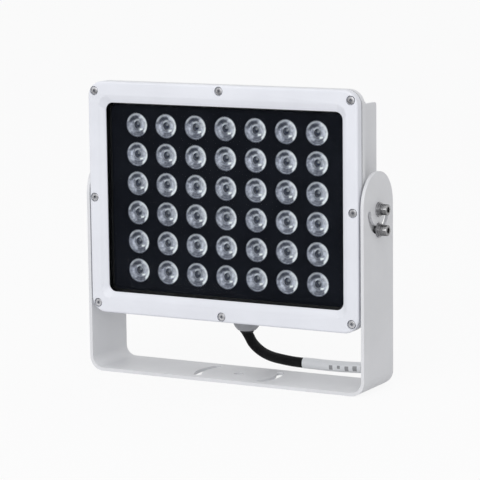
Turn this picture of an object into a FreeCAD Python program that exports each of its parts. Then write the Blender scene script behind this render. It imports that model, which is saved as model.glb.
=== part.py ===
import FreeCAD, Part
import math
import os

from FreeCAD import Vector

os.makedirs("parts", exist_ok=True)

# LED flood light, millimetres. Z is up, the lamp shines towards -Y.
# The origin is at the middle of the bracket's underside, where it is fixed to a wall or floor.
# The head turns on the bracket about the line Y = 0, Z = pivot_z.

# Bracket: a flat bar bent into a U
bar_width = 60.0
bar_thick = 3.0
arm_gap = 1.5
bend_inner_r = 10.0
pivot_z = 160.0
ear_rise = 3.0
pivot_hole_r = 3.3
slot_arc_r = 18.0
slot_width = 7.0
slot_half_angle = 80.0
base_hole_r = 4.5
base_slot_arc_r = 37.0
base_slot_width = 6.6
base_slot_half_angle = 30.0

# Screws that carry the head
bolt_r = 3.0
bolt_head_r = 5.0
bolt_head_high = 6.0
bolt_socket_flats = 5.0
bolt_socket_deep = 3.0
bolt_length = 20.0
flat_washer_r = 6.4
flat_washer_thick = 1.6
spring_washer_r = 5.3
spring_washer_thick = 1.6
washer_bore_r = 3.2
slip_gap = 0.1
thread_fit = 0.05
friction_pad_thick = 1.2
friction_pad_r = 14.0
pad_gap = 0.2

# Head outline
head_half_x = 134.0
head_half_z = 105.0
head_corner_r = 14.0
face_y = -32.0
face_round = 2.0

# Front frame
band_x = 10.5
band_z = 12.0
slope_x = 5.5
slope_z = 7.0
slope_deep = 4.5
slope_outer_r = 10.0
window_corner_r = 7.0
lip_thick = 0.9
frame_deep = 8.0

# Screws of the front frame
frame_screw_r = 2.0
frame_screw_head_r = 3.4
frame_screw_head_high = 2.0
frame_recess_r = 4.1
frame_recess_deep = 2.6
frame_screw_clear_r = 2.3
frame_screw_corner_in_x = 6.5
frame_screw_corner_in_z = 8.5
frame_screw_edge = 5.0
hex_small_flats = 2.5
hex_small_deep = 1.3

# Seal between the frame and the housing
body_gasket_thick = 2.0
body_gasket_inset = 1.5

# Glass and its rubber channel
glass_thick = 4.0
channel_front_leg = 1.0
channel_back_leg = 1.2
channel_wall = 2.0
channel_cover_x = 4.0
glass_gap = 0.1
channel_gap = 0.2

# Rear housing
flange_thick = 5.0
flange_side = 12.0
flange_end = 15.5
body_corner_r = 4.0
cavity_wall_x = 5.5
cavity_wall_z = 5.0
cavity_corner_r = 6.0
floor_front_y = -6.0
floor_thick = 4.0
rear_y = 31.5
side_wall = 3.0
rear_corner_r = 3.0
fin_pitch = 9.25
fin_root = 3.0
fin_tip = 1.8
box_half_x = 58.5
box_wall = 6.0
box_top_z = 208.0
box_bottom_wall = 8.0
boss_r = 16.0

# Optics
lens_columns = 7
lens_rows = 6
lens_pitch_x = 30.0
lens_pitch_z = 26.4
lens_r = 11.0
lens_base_r = 4.5
lens_rim_gap = 1.0
lens_sides = 20
mask_gap = 0.6
mask_thick = 1.5
mask_edge_gap = 0.5
mask_hole_gap = 0.2
mask_post_r = 3.0
mask_post_edge = 7.0

# Circuit board and light sources
board_thick = 1.6
pad_thick = 0.4
board_edge_gap = 1.5
chip_side = 3.5
chip_thick = 1.2
board_screw_r = 1.5
board_screw_head_r = 2.75
board_screw_head_high = 1.8
board_screw_edge_x = 5.0
board_screw_edge_z = 4.0
wire_hole_r = 3.2
wire_r = 0.9
wire_spread = 1.0
wire_foot = 4.4

# Driver and terminals in the rear box
driver_side_gap = 2.5
driver_top_gap = 6.0
driver_high = 84.0
driver_deep = 22.0
driver_round = 3.0
driver_tab = 10.0
driver_tab_thick = 3.0
driver_tab_high = 14.0
driver_screw_r = 1.5
driver_screw_head_r = 2.75
driver_screw_head_high = 1.8
terminal_half_x = 13.0
terminal_high = 11.0
terminal_gap = 7.0
terminal_deep = 13.0
terminal_pitch = 8.0
core_r = 1.2
core_hole_r = 1.5
core_y = 4.5
core_gather = 0.32

# Rear cover
cover_thick = 2.4
cover_gasket_thick = 0.8
cover_edge_gap = 1.0
cover_corner_r = 5.0
cover_screw_r = 1.5
cover_screw_head_r = 2.9
cover_screw_length = 10.0
cover_screw_inset = 3.0
cover_screw_clear_r = 1.7
blind_spare = 0.5

# Cable gland
gland_y = 16.0
gland_thread_r = 10.0
gland_hex_flats = 24.0
gland_hex_high = 4.5
gland_ring_r = 12.0
gland_ring_thick = 1.5
gland_sleeve_r = 9.0
gland_nut_gap = 0.3
gland_nut_high = 24.0
gland_nut_hex_high = 10.0
gland_nut_flats = 24.0
gland_nut_mouth_r = 7.4
gland_seal_r = 7.0
gland_seal_lip_r = 5.7
gland_seal_stands = 2.3
gland_bore_r = 7.0

# Cord
cord_r = 4.7
cord_fit = 0.05
cord_floor_gap = 0.05
sleeve_wall = 0.3
sleeve_from_x = 40.0
sleeve_to_x = 90.0
cord_inner_above = 3.0
lead_r = 1.2
lead_bare_r = 0.6
lead_ring_r = 2.1
lead_length = 12.0
lead_bare_length = 5.0

# Places that follow from the sizes above
arm_inner_x = head_half_x + arm_gap
arm_outer_x = arm_inner_x + bar_thick
frame_back_y = face_y + frame_deep
flange_front_y = frame_back_y + body_gasket_thick
flange_back_y = flange_front_y + flange_thick
lip_back_y = face_y + slope_deep + lip_thick
glass_front_y = lip_back_y + channel_front_leg
glass_back_y = glass_front_y + glass_thick
channel_back_y = glass_back_y + channel_back_leg
window_half_x = head_half_x - band_x - slope_x
window_half_z = head_half_z - band_z - slope_z
channel_half_x = window_half_x + channel_cover_x + channel_wall
channel_half_z = window_half_z + channel_cover_x + channel_wall
channel_corner_r = window_corner_r + 1.0
body_half_x = head_half_x - flange_side
body_half_z = head_half_z - flange_end
cavity_half_x = body_half_x - cavity_wall_x
cavity_half_z = body_half_z - cavity_wall_z
floor_back_y = floor_front_y + floor_thick
pad_front_y = floor_front_y - pad_thick
board_front_y = pad_front_y - board_thick
chip_front_y = board_front_y - chip_thick
mask_front_y = glass_back_y + mask_gap
mask_back_y = mask_front_y + mask_thick
lens_front_y = glass_back_y + lens_rim_gap
mask_half_x = cavity_half_x - mask_edge_gap
mask_half_z = cavity_half_z - mask_edge_gap
board_half_x = cavity_half_x - board_edge_gap
board_half_z = cavity_half_z - board_edge_gap
board_screw_x = (lens_pitch_x / 2, board_half_x - board_screw_edge_x)
board_screw_z = board_half_z - board_screw_edge_z
mask_post_x = board_half_x - mask_post_edge
mask_post_z = 2 * lens_pitch_z
wire_hole_x = lens_pitch_x / 2
wire_hole_z = pivot_z - lens_pitch_z
body_bottom_z = pivot_z - body_half_z
body_top_z = pivot_z + body_half_z
boss_face_x = arm_inner_x - friction_pad_thick - pad_gap - slip_gap
rim_y = rear_y - cover_thick - cover_gasket_thick
box_floor_z = body_bottom_z + box_bottom_wall
driver_half_x = box_half_x - box_wall - driver_side_gap - driver_tab
driver_top_z = box_top_z - box_wall - driver_top_gap
driver_bottom_z = driver_top_z - driver_high
terminal_top_z = driver_bottom_z - terminal_gap
terminal_bottom_z = terminal_top_z - terminal_high
gland_ring_bottom_z = body_bottom_z - gland_ring_thick
gland_hex_bottom_z = gland_ring_bottom_z - gland_hex_high
gland_nut_top_z = gland_hex_bottom_z - gland_nut_gap
gland_nut_bottom_z = gland_nut_top_z - gland_nut_high
cord_exit_z = gland_nut_bottom_z - gland_seal_stands

# Route of the cord from the gland to its free end, chosen by hand
cord_rest_z = cord_r + cord_fit + sleeve_wall + cord_floor_gap
cord_fall = cord_exit_z - cord_rest_z
cord_route = [
    Vector(0.0, gland_y, cord_exit_z),
    Vector(1.4, gland_y + 1.2, cord_rest_z + 0.91 * cord_fall),
    Vector(2.8, gland_y + 5.1, cord_rest_z + 0.674 * cord_fall),
    Vector(6.7, 30.2, cord_rest_z + 0.399 * cord_fall),
    Vector(11.2, 41.4, cord_rest_z + 0.201 * cord_fall),
    Vector(18.2, 51.5, cord_rest_z + 0.079 * cord_fall),
    Vector(28.6, 57.1, cord_rest_z + 0.003 * cord_fall),
    Vector(42.9, 58.0, cord_rest_z),
    Vector(62.0, 56.4, cord_rest_z),
    Vector(81.9, 57.8, cord_rest_z),
    Vector(100.0, 62.5, cord_rest_z),
]


def save(shape, name):
    """Write one sub-part to its own file."""
    shape.exportStep("parts/" + name + ".step")


def group(shapes):
    """Separate solids kept together as one sub-part."""
    return Part.makeCompound(shapes)


def fuse_all(shapes):
    """One solid from shapes that touch or overlap."""
    return shapes[0].multiFuse(shapes[1:]).removeSplitter()


def cylinder_y(radius, x, z, y_from, y_to):
    """Round bar along Y."""
    return Part.makeCylinder(radius, y_to - y_from, Vector(x, y_from, z), Vector(0, 1, 0))


def cylinder_x(radius, y, z, x_from, x_to):
    """Round bar along X."""
    return Part.makeCylinder(radius, x_to - x_from, Vector(x_from, y, z), Vector(1, 0, 0))


def cylinder_z(radius, x, y, z_from, z_to):
    """Round bar along Z."""
    return Part.makeCylinder(radius, z_to - z_from, Vector(x, y, z_from), Vector(0, 0, 1))


def block(x_from, x_to, y_from, y_to, z_from, z_to):
    """Plain box between two corners."""
    corner = Vector(x_from, y_from, z_from)
    return Part.makeBox(x_to - x_from, y_to - y_from, z_to - z_from, corner)


def hexagon(flats, centre, along, length):
    """Hexagonal bar of this size across flats."""
    corner_r = flats / math.sqrt(3)
    turn = FreeCAD.Rotation(Vector(0, 0, 1), along)
    points = []
    for step in range(7):
        angle = math.radians(60 * step)
        local = Vector(corner_r * math.cos(angle), corner_r * math.sin(angle), 0)
        points.append(centre + turn.multVec(local))
    return Part.Face(Part.makePolygon(points)).extrude(along * length)


def rounded_outline(half_x, half_z, radius, y, mid_x=0.0, mid_z=pivot_z):
    """Closed wire of a rounded rectangle in the plane at this y."""
    arcs = []
    for quarter, (side_x, side_z) in enumerate(((1, 1), (-1, 1), (-1, -1), (1, -1))):
        centre = Vector(mid_x + side_x * (half_x - radius), y, mid_z + side_z * (half_z - radius))
        points = []
        for part in range(3):
            angle = math.radians(90 * quarter + 45 * part)
            points.append(centre + Vector(math.cos(angle), 0, math.sin(angle)) * radius)
        arcs.append(points)
    edges = []
    for index, points in enumerate(arcs):
        following = arcs[(index + 1) % 4]
        edges.append(Part.Arc(*points).toShape())
        edges.append(Part.LineSegment(points[2], following[0]).toShape())
    return Part.Wire(edges)


def rounded_slab(half_x, half_z, radius, y_from, y_to, mid_x=0.0, mid_z=pivot_z):
    """Plate with rounded corners that faces along Y."""
    outline = rounded_outline(half_x, half_z, radius, y_from, mid_x, mid_z)
    return Part.Face(outline).extrude(Vector(0, y_to - y_from, 0))


def stadium_x(radius, y, z_low, z_high, x_from, x_to):
    """Upright rounded bar that faces along X."""
    low = cylinder_x(radius, y, z_low, x_from, x_to)
    high = cylinder_x(radius, y, z_high, x_from, x_to)
    middle = block(x_from, x_to, y - radius, y + radius, z_low, z_high)
    return fuse_all([low, high, middle])


def curved_slot(centre, across, down, arc_r, width, half_angle):
    """Face of a slot bent round a centre: across and down span its plane, down points to its middle."""
    half = width / 2

    def at(radius, degrees):
        angle = math.radians(degrees)
        return centre + across * (radius * math.sin(angle)) + down * (radius * math.cos(angle))

    def cap(degrees, outward):
        end = at(arc_r, degrees)
        swing = math.radians(degrees)
        tangent = across * math.cos(swing) - down * math.sin(swing)
        return end + tangent * (half * outward)

    outer, inner = arc_r + half, arc_r - half
    edges = [
        Part.Arc(at(outer, -half_angle), at(outer, 0), at(outer, half_angle)).toShape(),
        Part.Arc(at(outer, half_angle), cap(half_angle, 1), at(inner, half_angle)).toShape(),
        Part.Arc(at(inner, half_angle), at(inner, 0), at(inner, -half_angle)).toShape(),
        Part.Arc(at(inner, -half_angle), cap(-half_angle, -1), at(outer, -half_angle)).toShape(),
    ]
    return Part.Face(Part.Wire(edges))


def edges_at(shape, test):
    """The edges of a shape whose every vertex passes the test."""
    return [edge for edge in shape.Edges if all(test(vertex.Point) for vertex in edge.Vertexes)]


def bar_outline():
    """Bent bar seen along Y, from the left arm's top round to the right arm's top."""
    top = pivot_z + ear_rise + bar_width / 2
    outer_r = bend_inner_r + bar_thick
    bend_x = arm_inner_x - bend_inner_r
    bend_z = bar_thick + bend_inner_r
    slant = math.sqrt(0.5)

    def bend(side, radius):
        middle = Vector(side * (bend_x + radius * slant), 0, bend_z - radius * slant)
        arm_end = Vector(side * (bend_x + radius), 0, bend_z)
        base_end = Vector(side * bend_x, 0, bend_z - radius)
        return arm_end, middle, base_end

    left_out, right_out = bend(-1, outer_r), bend(1, outer_r)
    left_in, right_in = bend(-1, bend_inner_r), bend(1, bend_inner_r)
    corners = [
        Vector(-arm_outer_x, 0, top),
        Vector(arm_outer_x, 0, top),
        Vector(arm_inner_x, 0, top),
        Vector(-arm_inner_x, 0, top),
    ]
    edges = [
        Part.LineSegment(corners[0], left_out[0]).toShape(),
        Part.Arc(*left_out).toShape(),
        Part.LineSegment(left_out[2], right_out[2]).toShape(),
        Part.Arc(right_out[2], right_out[1], right_out[0]).toShape(),
        Part.LineSegment(right_out[0], corners[1]).toShape(),
        Part.LineSegment(corners[1], corners[2]).toShape(),
        Part.LineSegment(corners[2], right_in[0]).toShape(),
        Part.Arc(*right_in).toShape(),
        Part.LineSegment(right_in[2], left_in[2]).toShape(),
        Part.Arc(left_in[2], left_in[1], left_in[0]).toShape(),
        Part.LineSegment(left_in[0], corners[3]).toShape(),
        Part.LineSegment(corners[3], corners[0]).toShape(),
    ]
    return Part.Wire(edges)


def make_bracket():
    """U of flat bar with round ears, a hole and a curved slot for the head, and the base's own openings."""
    half = bar_width / 2
    bar = Part.Face(bar_outline()).extrude(Vector(0, bar_width, 0))
    bar.translate(Vector(0, -half, 0))
    ear_z = pivot_z + ear_rise
    side = block(-arm_outer_x, arm_outer_x, -half, half, 0, ear_z)
    crown = cylinder_x(half, 0, ear_z, -arm_outer_x, arm_outer_x)
    bar = bar.common(side.fuse(crown))
    pivot = Vector(-arm_outer_x, 0, pivot_z)
    slot = curved_slot(pivot, Vector(0, 1, 0), Vector(0, 0, -1), slot_arc_r, slot_width, slot_half_angle)
    through = Vector(2 * arm_outer_x, 0, 0)
    cuts = [
        cylinder_x(pivot_hole_r, 0, pivot_z, -arm_outer_x, arm_outer_x),
        slot.extrude(through),
        cylinder_z(base_hole_r, 0, 0, 0, bar_thick),
    ]
    for side_x in (-1, 1):
        base_slot = curved_slot(
            Vector(0, 0, 0), Vector(0, 1, 0), Vector(side_x, 0, 0),
            base_slot_arc_r, base_slot_width, base_slot_half_angle,
        )
        cuts.append(base_slot.extrude(Vector(0, 0, bar_thick)))
    return bar.cut(cuts)


def bolt_places():
    """Height of the pivot screw and of the lock screw below it."""
    return (pivot_z, pivot_z - slot_arc_r)


def mirrored(shape):
    """The same shape on the other side of the head."""
    return shape.mirror(Vector(0, 0, 0), Vector(1, 0, 0))


def cap_screw(z):
    """Socket-head screw that points inwards from the right-hand side."""
    under_head = arm_outer_x + slip_gap + flat_washer_thick + spring_washer_thick
    shank = cylinder_x(bolt_r, 0, z, under_head - bolt_length, under_head)
    head = cylinder_x(bolt_head_r, 0, z, under_head, under_head + bolt_head_high)
    rim = edges_at(head, lambda point: point.x > under_head + bolt_head_high - 0.1)
    head = head.makeFillet(0.6, rim)
    socket_x = under_head + bolt_head_high - bolt_socket_deep
    socket = hexagon(bolt_socket_flats, Vector(socket_x, 0, z), Vector(1, 0, 0), bolt_socket_deep)
    return fuse_all([shank, head]).cut(socket)


def ring_x(outer_r, inner_r, z, x_from, x_to):
    """Washer that faces along X."""
    return cylinder_x(outer_r, 0, z, x_from, x_to).cut(cylinder_x(inner_r, 0, z, x_from, x_to))


def spring_washer(z, x_from, x_to):
    """Split washer: a ring with a slanting cut."""
    ring = ring_x(spring_washer_r, washer_bore_r, z, x_from, x_to)
    gap = block(x_from - 1, x_to + 1, -0.5, 0.5, z + washer_bore_r - 0.6, z + spring_washer_r + 0.6)
    gap.rotate(Vector(x_from, 0, z), Vector(0, 0, 1), 25)
    return ring.cut(gap)


def make_bolts(z):
    """One screw on each side of the head."""
    screw = cap_screw(z)
    return group([screw, mirrored(screw)])


def make_flat_washers():
    """Flat washers on the outside of the bracket's ears."""
    start = arm_outer_x + slip_gap
    right = [ring_x(flat_washer_r, washer_bore_r, z, start, start + flat_washer_thick) for z in bolt_places()]
    return group(right + [mirrored(shape) for shape in right])


def make_spring_washers():
    """Split washers between the flat washers and the screw heads."""
    start = arm_outer_x + slip_gap + flat_washer_thick
    right = [spring_washer(z, start, start + spring_washer_thick) for z in bolt_places()]
    return group(right + [mirrored(shape) for shape in right])


def make_friction_pads():
    """Plastic pads between the head's bosses and the bracket's ears."""
    low, high = min(bolt_places()), max(bolt_places())
    x_to = boss_face_x + friction_pad_thick
    pad = stadium_x(friction_pad_r, 0, low, high, boss_face_x, x_to)
    holes = [cylinder_x(pivot_hole_r, 0, z, boss_face_x, x_to) for z in bolt_places()]
    pad = pad.cut(holes)
    return group([pad, mirrored(pad)])


def frame_screw_places():
    """Where the eight screws of the front frame stand, as X and height from the pivot."""
    corner_x = head_half_x - frame_screw_corner_in_x
    corner_z = head_half_z - frame_screw_corner_in_z
    places = []
    for side_x in (-1, 1):
        for side_z in (-1, 1):
            places.append((side_x * corner_x, side_z * corner_z))
        places.append((side_x * (head_half_x - frame_screw_edge), 0.0))
        places.append((0.0, side_x * (head_half_z - frame_screw_edge)))
    return places


def screw_holes(radius, places, y_from, y_to):
    """Round holes along Y at these places."""
    return [cylinder_y(radius, x, pivot_z + z, y_from, y_to) for x, z in places]


def make_front_frame():
    """Cast frame: flat band, slope down to the window, and a seat for the glass behind."""
    frame = rounded_slab(head_half_x, head_half_z, head_corner_r, face_y, frame_back_y)
    front_edge = edges_at(frame, lambda point: abs(point.y - face_y) < 0.01)
    frame = frame.makeFillet(face_round, front_edge)
    slope_y = face_y + slope_deep
    wide = rounded_outline(head_half_x - band_x, head_half_z - band_z, slope_outer_r, face_y)
    narrow = rounded_outline(window_half_x, window_half_z, window_corner_r, slope_y)
    slope = Part.makeLoft([wide, narrow], True, True)
    window = rounded_slab(window_half_x, window_half_z, window_corner_r, slope_y, lip_back_y)
    seat = rounded_slab(
        channel_half_x + channel_gap, channel_half_z + channel_gap, channel_corner_r, lip_back_y, frame_back_y
    )
    frame = frame.cut([slope, window, seat])
    places = frame_screw_places()
    recess = screw_holes(frame_recess_r, places, face_y, face_y + frame_recess_deep)
    through = screw_holes(frame_screw_clear_r, places, face_y + frame_recess_deep, frame_back_y)
    return frame.cut(recess + through)


def socket_screw_y(x, z, y_seat, y_tip, shank_r, head_r, head_high):
    """Small screw driven towards +Y, with a hexagon socket in its head."""
    head_y = y_seat - head_high
    shank = cylinder_y(shank_r, x, z, y_seat, y_tip)
    head = cylinder_y(head_r, x, z, head_y, y_seat)
    socket = hexagon(hex_small_flats, Vector(x, head_y, z), Vector(0, 1, 0), hex_small_deep)
    return fuse_all([shank, head]).cut(socket)


def make_frame_screws():
    """Eight screws that hold the front frame to the housing."""
    seat = face_y + frame_recess_deep
    tip = flange_back_y - blind_spare
    screws = []
    for x, z in frame_screw_places():
        screws.append(socket_screw_y(
            x, pivot_z + z, seat, tip, frame_screw_r, frame_screw_head_r, frame_screw_head_high
        ))
    return group(screws)


def make_body_gasket():
    """Rubber between the frame and the housing, set back from the head's sides."""
    outer = rounded_slab(
        head_half_x - body_gasket_inset, head_half_z - body_gasket_inset,
        head_corner_r - body_gasket_inset, frame_back_y, flange_front_y,
    )
    inner = rounded_slab(
        channel_half_x + channel_gap, channel_half_z + channel_gap, channel_corner_r,
        frame_back_y, flange_front_y,
    )
    holes = screw_holes(frame_screw_clear_r, frame_screw_places(), frame_back_y, flange_front_y)
    return outer.cut([inner] + holes)


def make_glass():
    """Flat tempered glass."""
    half_x = window_half_x + channel_cover_x
    half_z = window_half_z + channel_cover_x
    return rounded_slab(half_x, half_z, window_corner_r, glass_front_y, glass_back_y)


def make_glass_channel():
    """Rubber channel that wraps the edge of the glass."""
    outer = rounded_slab(channel_half_x, channel_half_z, channel_corner_r, lip_back_y, channel_back_y)
    opening = rounded_slab(window_half_x + 0.5, window_half_z + 0.5, window_corner_r, lip_back_y, channel_back_y)
    groove = rounded_slab(
        window_half_x + channel_cover_x + glass_gap, window_half_z + channel_cover_x + glass_gap,
        window_corner_r, glass_front_y, glass_back_y,
    )
    return outer.cut([opening, groove])


def fin(x, z_from, z_to):
    """One cooling fin: thicker at its root, thinner at its tip."""
    root, tip = fin_root / 2, fin_tip / 2
    root_y = floor_back_y - 1.0
    corners = [(-root, root_y), (-root, floor_back_y), (-tip, rear_y), (tip, rear_y), (root, floor_back_y), (root, root_y)]
    points = [Vector(x + across, y, z_from) for across, y in corners]
    return Part.Face(Part.makePolygon(points + points[:1])).extrude(Vector(0, 0, z_to - z_from))


def fin_places():
    """X of each fin, with True where the driver box stands in its way."""
    places = []
    count = int((body_half_x - side_wall - fin_root) / fin_pitch)
    for step in range(-count, count + 1):
        x = step * fin_pitch
        clear = abs(x) > box_half_x + fin_root
        behind = abs(x) < box_half_x
        if clear or behind:
            places.append((x, behind))
    return places


def rear_envelope():
    """Outline of the housing's rear seen along X: square at the flange, rounded at the back."""
    depth = rear_y - flange_back_y
    body = block(-body_half_x, body_half_x, flange_back_y, rear_y, body_bottom_z, body_top_z)
    back = edges_at(body, lambda point: abs(point.y - rear_y) < 0.01)
    across = [edge for edge in back if abs(edge.Vertexes[0].Point.x - edge.Vertexes[1].Point.x) > depth]
    return body.makeFillet(rear_corner_r, across)


def box_screw_places():
    """Where the six screws of the rear cover stand, as X and Z."""
    x = box_half_x - cover_screw_inset
    low = body_bottom_z + cover_edge_gap + cover_screw_inset
    high = box_top_z - cover_screw_inset
    return [(side * x, z) for side in (-1, 1) for z in (low, (low + high) / 2, high)]


def driver_screw_places():
    """Where the four screws of the driver stand, as X and Z."""
    x = driver_half_x + driver_tab / 2
    low = driver_bottom_z + driver_tab_high / 2
    high = driver_top_z - driver_tab_high / 2
    return [(side * x, z) for side in (-1, 1) for z in (low, high)]


def board_screw_places():
    """Where the eight screws of the circuit board stand, as X and height from the pivot."""
    return [(sx * x, sz * board_screw_z) for x in board_screw_x for sx in (-1, 1) for sz in (-1, 1)]


def make_housing():
    """Cast rear housing: flange, lamp chamber, fins, driver box, side bosses and every tapped hole."""
    flange = rounded_slab(head_half_x, head_half_z, head_corner_r, flange_front_y, flange_back_y)
    pieces = [flange, rounded_slab(body_half_x, body_half_z, body_corner_r, flange_front_y, floor_back_y)]
    for side in (-1, 1):
        x_from = min(side * body_half_x, side * (body_half_x - side_wall))
        pieces.append(block(x_from, x_from + side_wall, floor_front_y, rear_y, body_bottom_z, body_top_z))
    pieces.append(block(-box_half_x, box_half_x, floor_front_y, rim_y, body_bottom_z, box_top_z))
    for x, behind in fin_places():
        z_from = box_top_z if behind else body_bottom_z
        pieces.append(fin(x, z_from, body_top_z))
    rear = fuse_all(pieces[1:]).common(rear_envelope().fuse(flange))
    low, high = min(bolt_places()), max(bolt_places())
    bosses = []
    for side in (-1, 1):
        x_from = min(side * (body_half_x - side_wall), side * boss_face_x)
        x_to = max(side * (body_half_x - side_wall), side * boss_face_x)
        bosses.append(stadium_x(boss_r, 0, low, high, x_from, x_to))
    housing = fuse_all([flange, rear] + bosses)
    return housing.cut(housing_cuts())


def housing_cuts():
    """Everything that is hollow in the rear housing."""
    cuts = [
        rounded_slab(
            channel_half_x + channel_gap, channel_half_z + channel_gap, channel_corner_r,
            flange_front_y, channel_back_y,
        ),
        rounded_slab(cavity_half_x, cavity_half_z, cavity_corner_r, channel_back_y, floor_front_y),
        block(
            box_wall - box_half_x, box_half_x - box_wall, floor_back_y, rim_y,
            box_floor_z, box_top_z - box_wall,
        ),
        cylinder_z(gland_thread_r + thread_fit, 0, gland_y, body_bottom_z, box_floor_z),
        cylinder_y(wire_hole_r, wire_hole_x, wire_hole_z, floor_front_y, floor_back_y),
    ]
    cuts += screw_holes(frame_screw_r + thread_fit, frame_screw_places(), flange_front_y, flange_back_y)
    deep = floor_back_y - blind_spare
    cuts += screw_holes(board_screw_r + thread_fit, board_screw_places(), floor_front_y, deep)
    for x, z in driver_screw_places():
        cuts.append(cylinder_y(driver_screw_r + thread_fit, x, z, floor_front_y + blind_spare, floor_back_y))
    for x, z in box_screw_places():
        tip = rear_y - cover_screw_length - blind_spare
        cuts.append(cylinder_y(cover_screw_r + thread_fit, x, z, tip, rim_y))
    tip_x = arm_outer_x + slip_gap + flat_washer_thick + spring_washer_thick - bolt_length - blind_spare
    for z in bolt_places():
        cuts.append(cylinder_x(bolt_r + thread_fit, 0, z, tip_x, boss_face_x))
        cuts.append(cylinder_x(bolt_r + thread_fit, 0, z, -boss_face_x, -tip_x))
    return cuts


def lens_places():
    """Centre of each lens, as X and Z."""
    places = []
    for column in range(lens_columns):
        for row in range(lens_rows):
            x = (column - (lens_columns - 1) / 2) * lens_pitch_x
            z = pivot_z + (row - (lens_rows - 1) / 2) * lens_pitch_z
            places.append((x, z))
    return places


def many_sided(radius, x, y, z):
    """Corners of a lens-shaped round in the plane at this y."""
    corners = []
    for step in range(lens_sides):
        angle = 2 * math.pi * step / lens_sides
        corners.append(Vector(x + radius * math.cos(angle), y, z + radius * math.sin(angle)))
    return corners


def flat_face(corners):
    """Plane face with these corners."""
    return Part.Face(Part.makePolygon(corners + corners[:1]))


def lens(x, z):
    """One clear cone that widens from its light source to the front."""
    front = many_sided(lens_r, x, lens_front_y, z)
    back = many_sided(lens_base_r, x, chip_front_y, z)
    faces = [flat_face(front), flat_face(back)]
    for step in range(lens_sides):
        after = (step + 1) % lens_sides
        faces.append(flat_face([front[step], front[after], back[after], back[step]]))
    return Part.makeSolid(Part.makeShell(faces))


def make_lenses():
    """The lenses, one over each light source."""
    return group([lens(x, z) for x, z in lens_places()])


def make_mask():
    """Black tray with a round opening for each lens, on posts that stand on the board."""
    tray = rounded_slab(mask_half_x, mask_half_z, cavity_corner_r, mask_front_y, mask_back_y)
    posts = []
    for side_x in (-1, 1):
        for side_z in (-1, 1):
            posts.append(cylinder_y(
                mask_post_r, side_x * mask_post_x, pivot_z + side_z * mask_post_z, mask_back_y, board_front_y
            ))
    through = Vector(0, mask_thick, 0)
    holes = []
    for x, z in lens_places():
        outline = many_sided(lens_r + mask_hole_gap, x, mask_front_y, z)
        holes.append(flat_face(outline).extrude(through))
    return fuse_all([tray] + posts).cut(holes)


def make_board():
    """Aluminium circuit board."""
    board = rounded_slab(board_half_x, board_half_z, cavity_corner_r, board_front_y, pad_front_y)
    holes = screw_holes(board_screw_r + 0.2, board_screw_places(), board_front_y, pad_front_y)
    holes.append(cylinder_y(wire_hole_r, wire_hole_x, wire_hole_z, board_front_y, pad_front_y))
    return board.cut(holes)


def make_pad():
    """Thin heat-conducting sheet behind the board."""
    pad = rounded_slab(board_half_x, board_half_z, cavity_corner_r, pad_front_y, floor_front_y)
    holes = screw_holes(board_screw_r + 0.2, board_screw_places(), pad_front_y, floor_front_y)
    holes.append(cylinder_y(wire_hole_r, wire_hole_x, wire_hole_z, pad_front_y, floor_front_y))
    return pad.cut(holes)


def make_chips():
    """One square light source behind each lens."""
    half = chip_side / 2
    return group([
        block(x - half, x + half, chip_front_y, board_front_y, z - half, z + half) for x, z in lens_places()
    ])


def plain_screw_y(x, z, y_seat, y_tip, shank_r, head_r, head_high):
    """Small screw driven towards +Y with a plain round head."""
    shank = cylinder_y(shank_r, x, z, y_seat, y_tip)
    return fuse_all([shank, cylinder_y(head_r, x, z, y_seat - head_high, y_seat)])


def plain_screw_back(x, z, y_seat, y_tip, shank_r, head_r, head_high):
    """Small screw driven towards -Y with a plain round head."""
    shank = cylinder_y(shank_r, x, z, y_tip, y_seat)
    return fuse_all([shank, cylinder_y(head_r, x, z, y_seat, y_seat + head_high)])


def make_board_screws():
    """Screws that press the board on the housing's floor."""
    tip = floor_back_y - 2 * blind_spare
    return group([
        plain_screw_y(
            x, pivot_z + z, board_front_y, tip, board_screw_r, board_screw_head_r, board_screw_head_high
        )
        for x, z in board_screw_places()
    ])


def make_board_wires():
    """Two wires from the board through the floor to the driver."""
    z = wire_hole_z
    wires = []
    for side in (-1, 1):
        x = wire_hole_x + side * wire_spread
        points = [
            Vector(x + side * wire_foot, board_front_y - wire_r, z),
            Vector(x, board_front_y - wire_r, z),
            Vector(x, driver_front_y(), z),
        ]
        wires.append(tube(points, arc_radii(points), wire_r))
    return group(wires)


def driver_front_y():
    """The driver's casing rests on the housing's floor."""
    return floor_back_y


def make_driver():
    """Power supply: a rounded block with two pairs of fixing tabs."""
    mid_z = (driver_bottom_z + driver_top_z) / 2
    half_z = (driver_top_z - driver_bottom_z) / 2
    y = driver_front_y()
    case = rounded_slab(driver_half_x, half_z, driver_round, y, y + driver_deep, 0.0, mid_z)
    tabs = []
    for x, z in driver_screw_places():
        half = driver_tab_high / 2
        x_from = min(x - driver_tab / 2, x + driver_tab / 2)
        tabs.append(block(x_from, x_from + driver_tab, y, y + driver_tab_thick, z - half, z + half))
    driver = fuse_all([case] + tabs)
    holes = [
        cylinder_y(driver_screw_r + 0.2, x, z, y, y + driver_tab_thick) for x, z in driver_screw_places()
    ]
    return driver.cut(holes)


def make_driver_screws():
    """Screws that hold the driver's tabs."""
    seat = driver_front_y() + driver_tab_thick
    tip = floor_front_y + 2 * blind_spare
    return group([
        plain_screw_back(x, z, seat, tip, driver_screw_r, driver_screw_head_r, driver_screw_head_high)
        for x, z in driver_screw_places()
    ])


def core_offsets():
    """Sideways places of the three cores at the terminals."""
    return (-terminal_pitch, 0.0, terminal_pitch)


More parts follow.
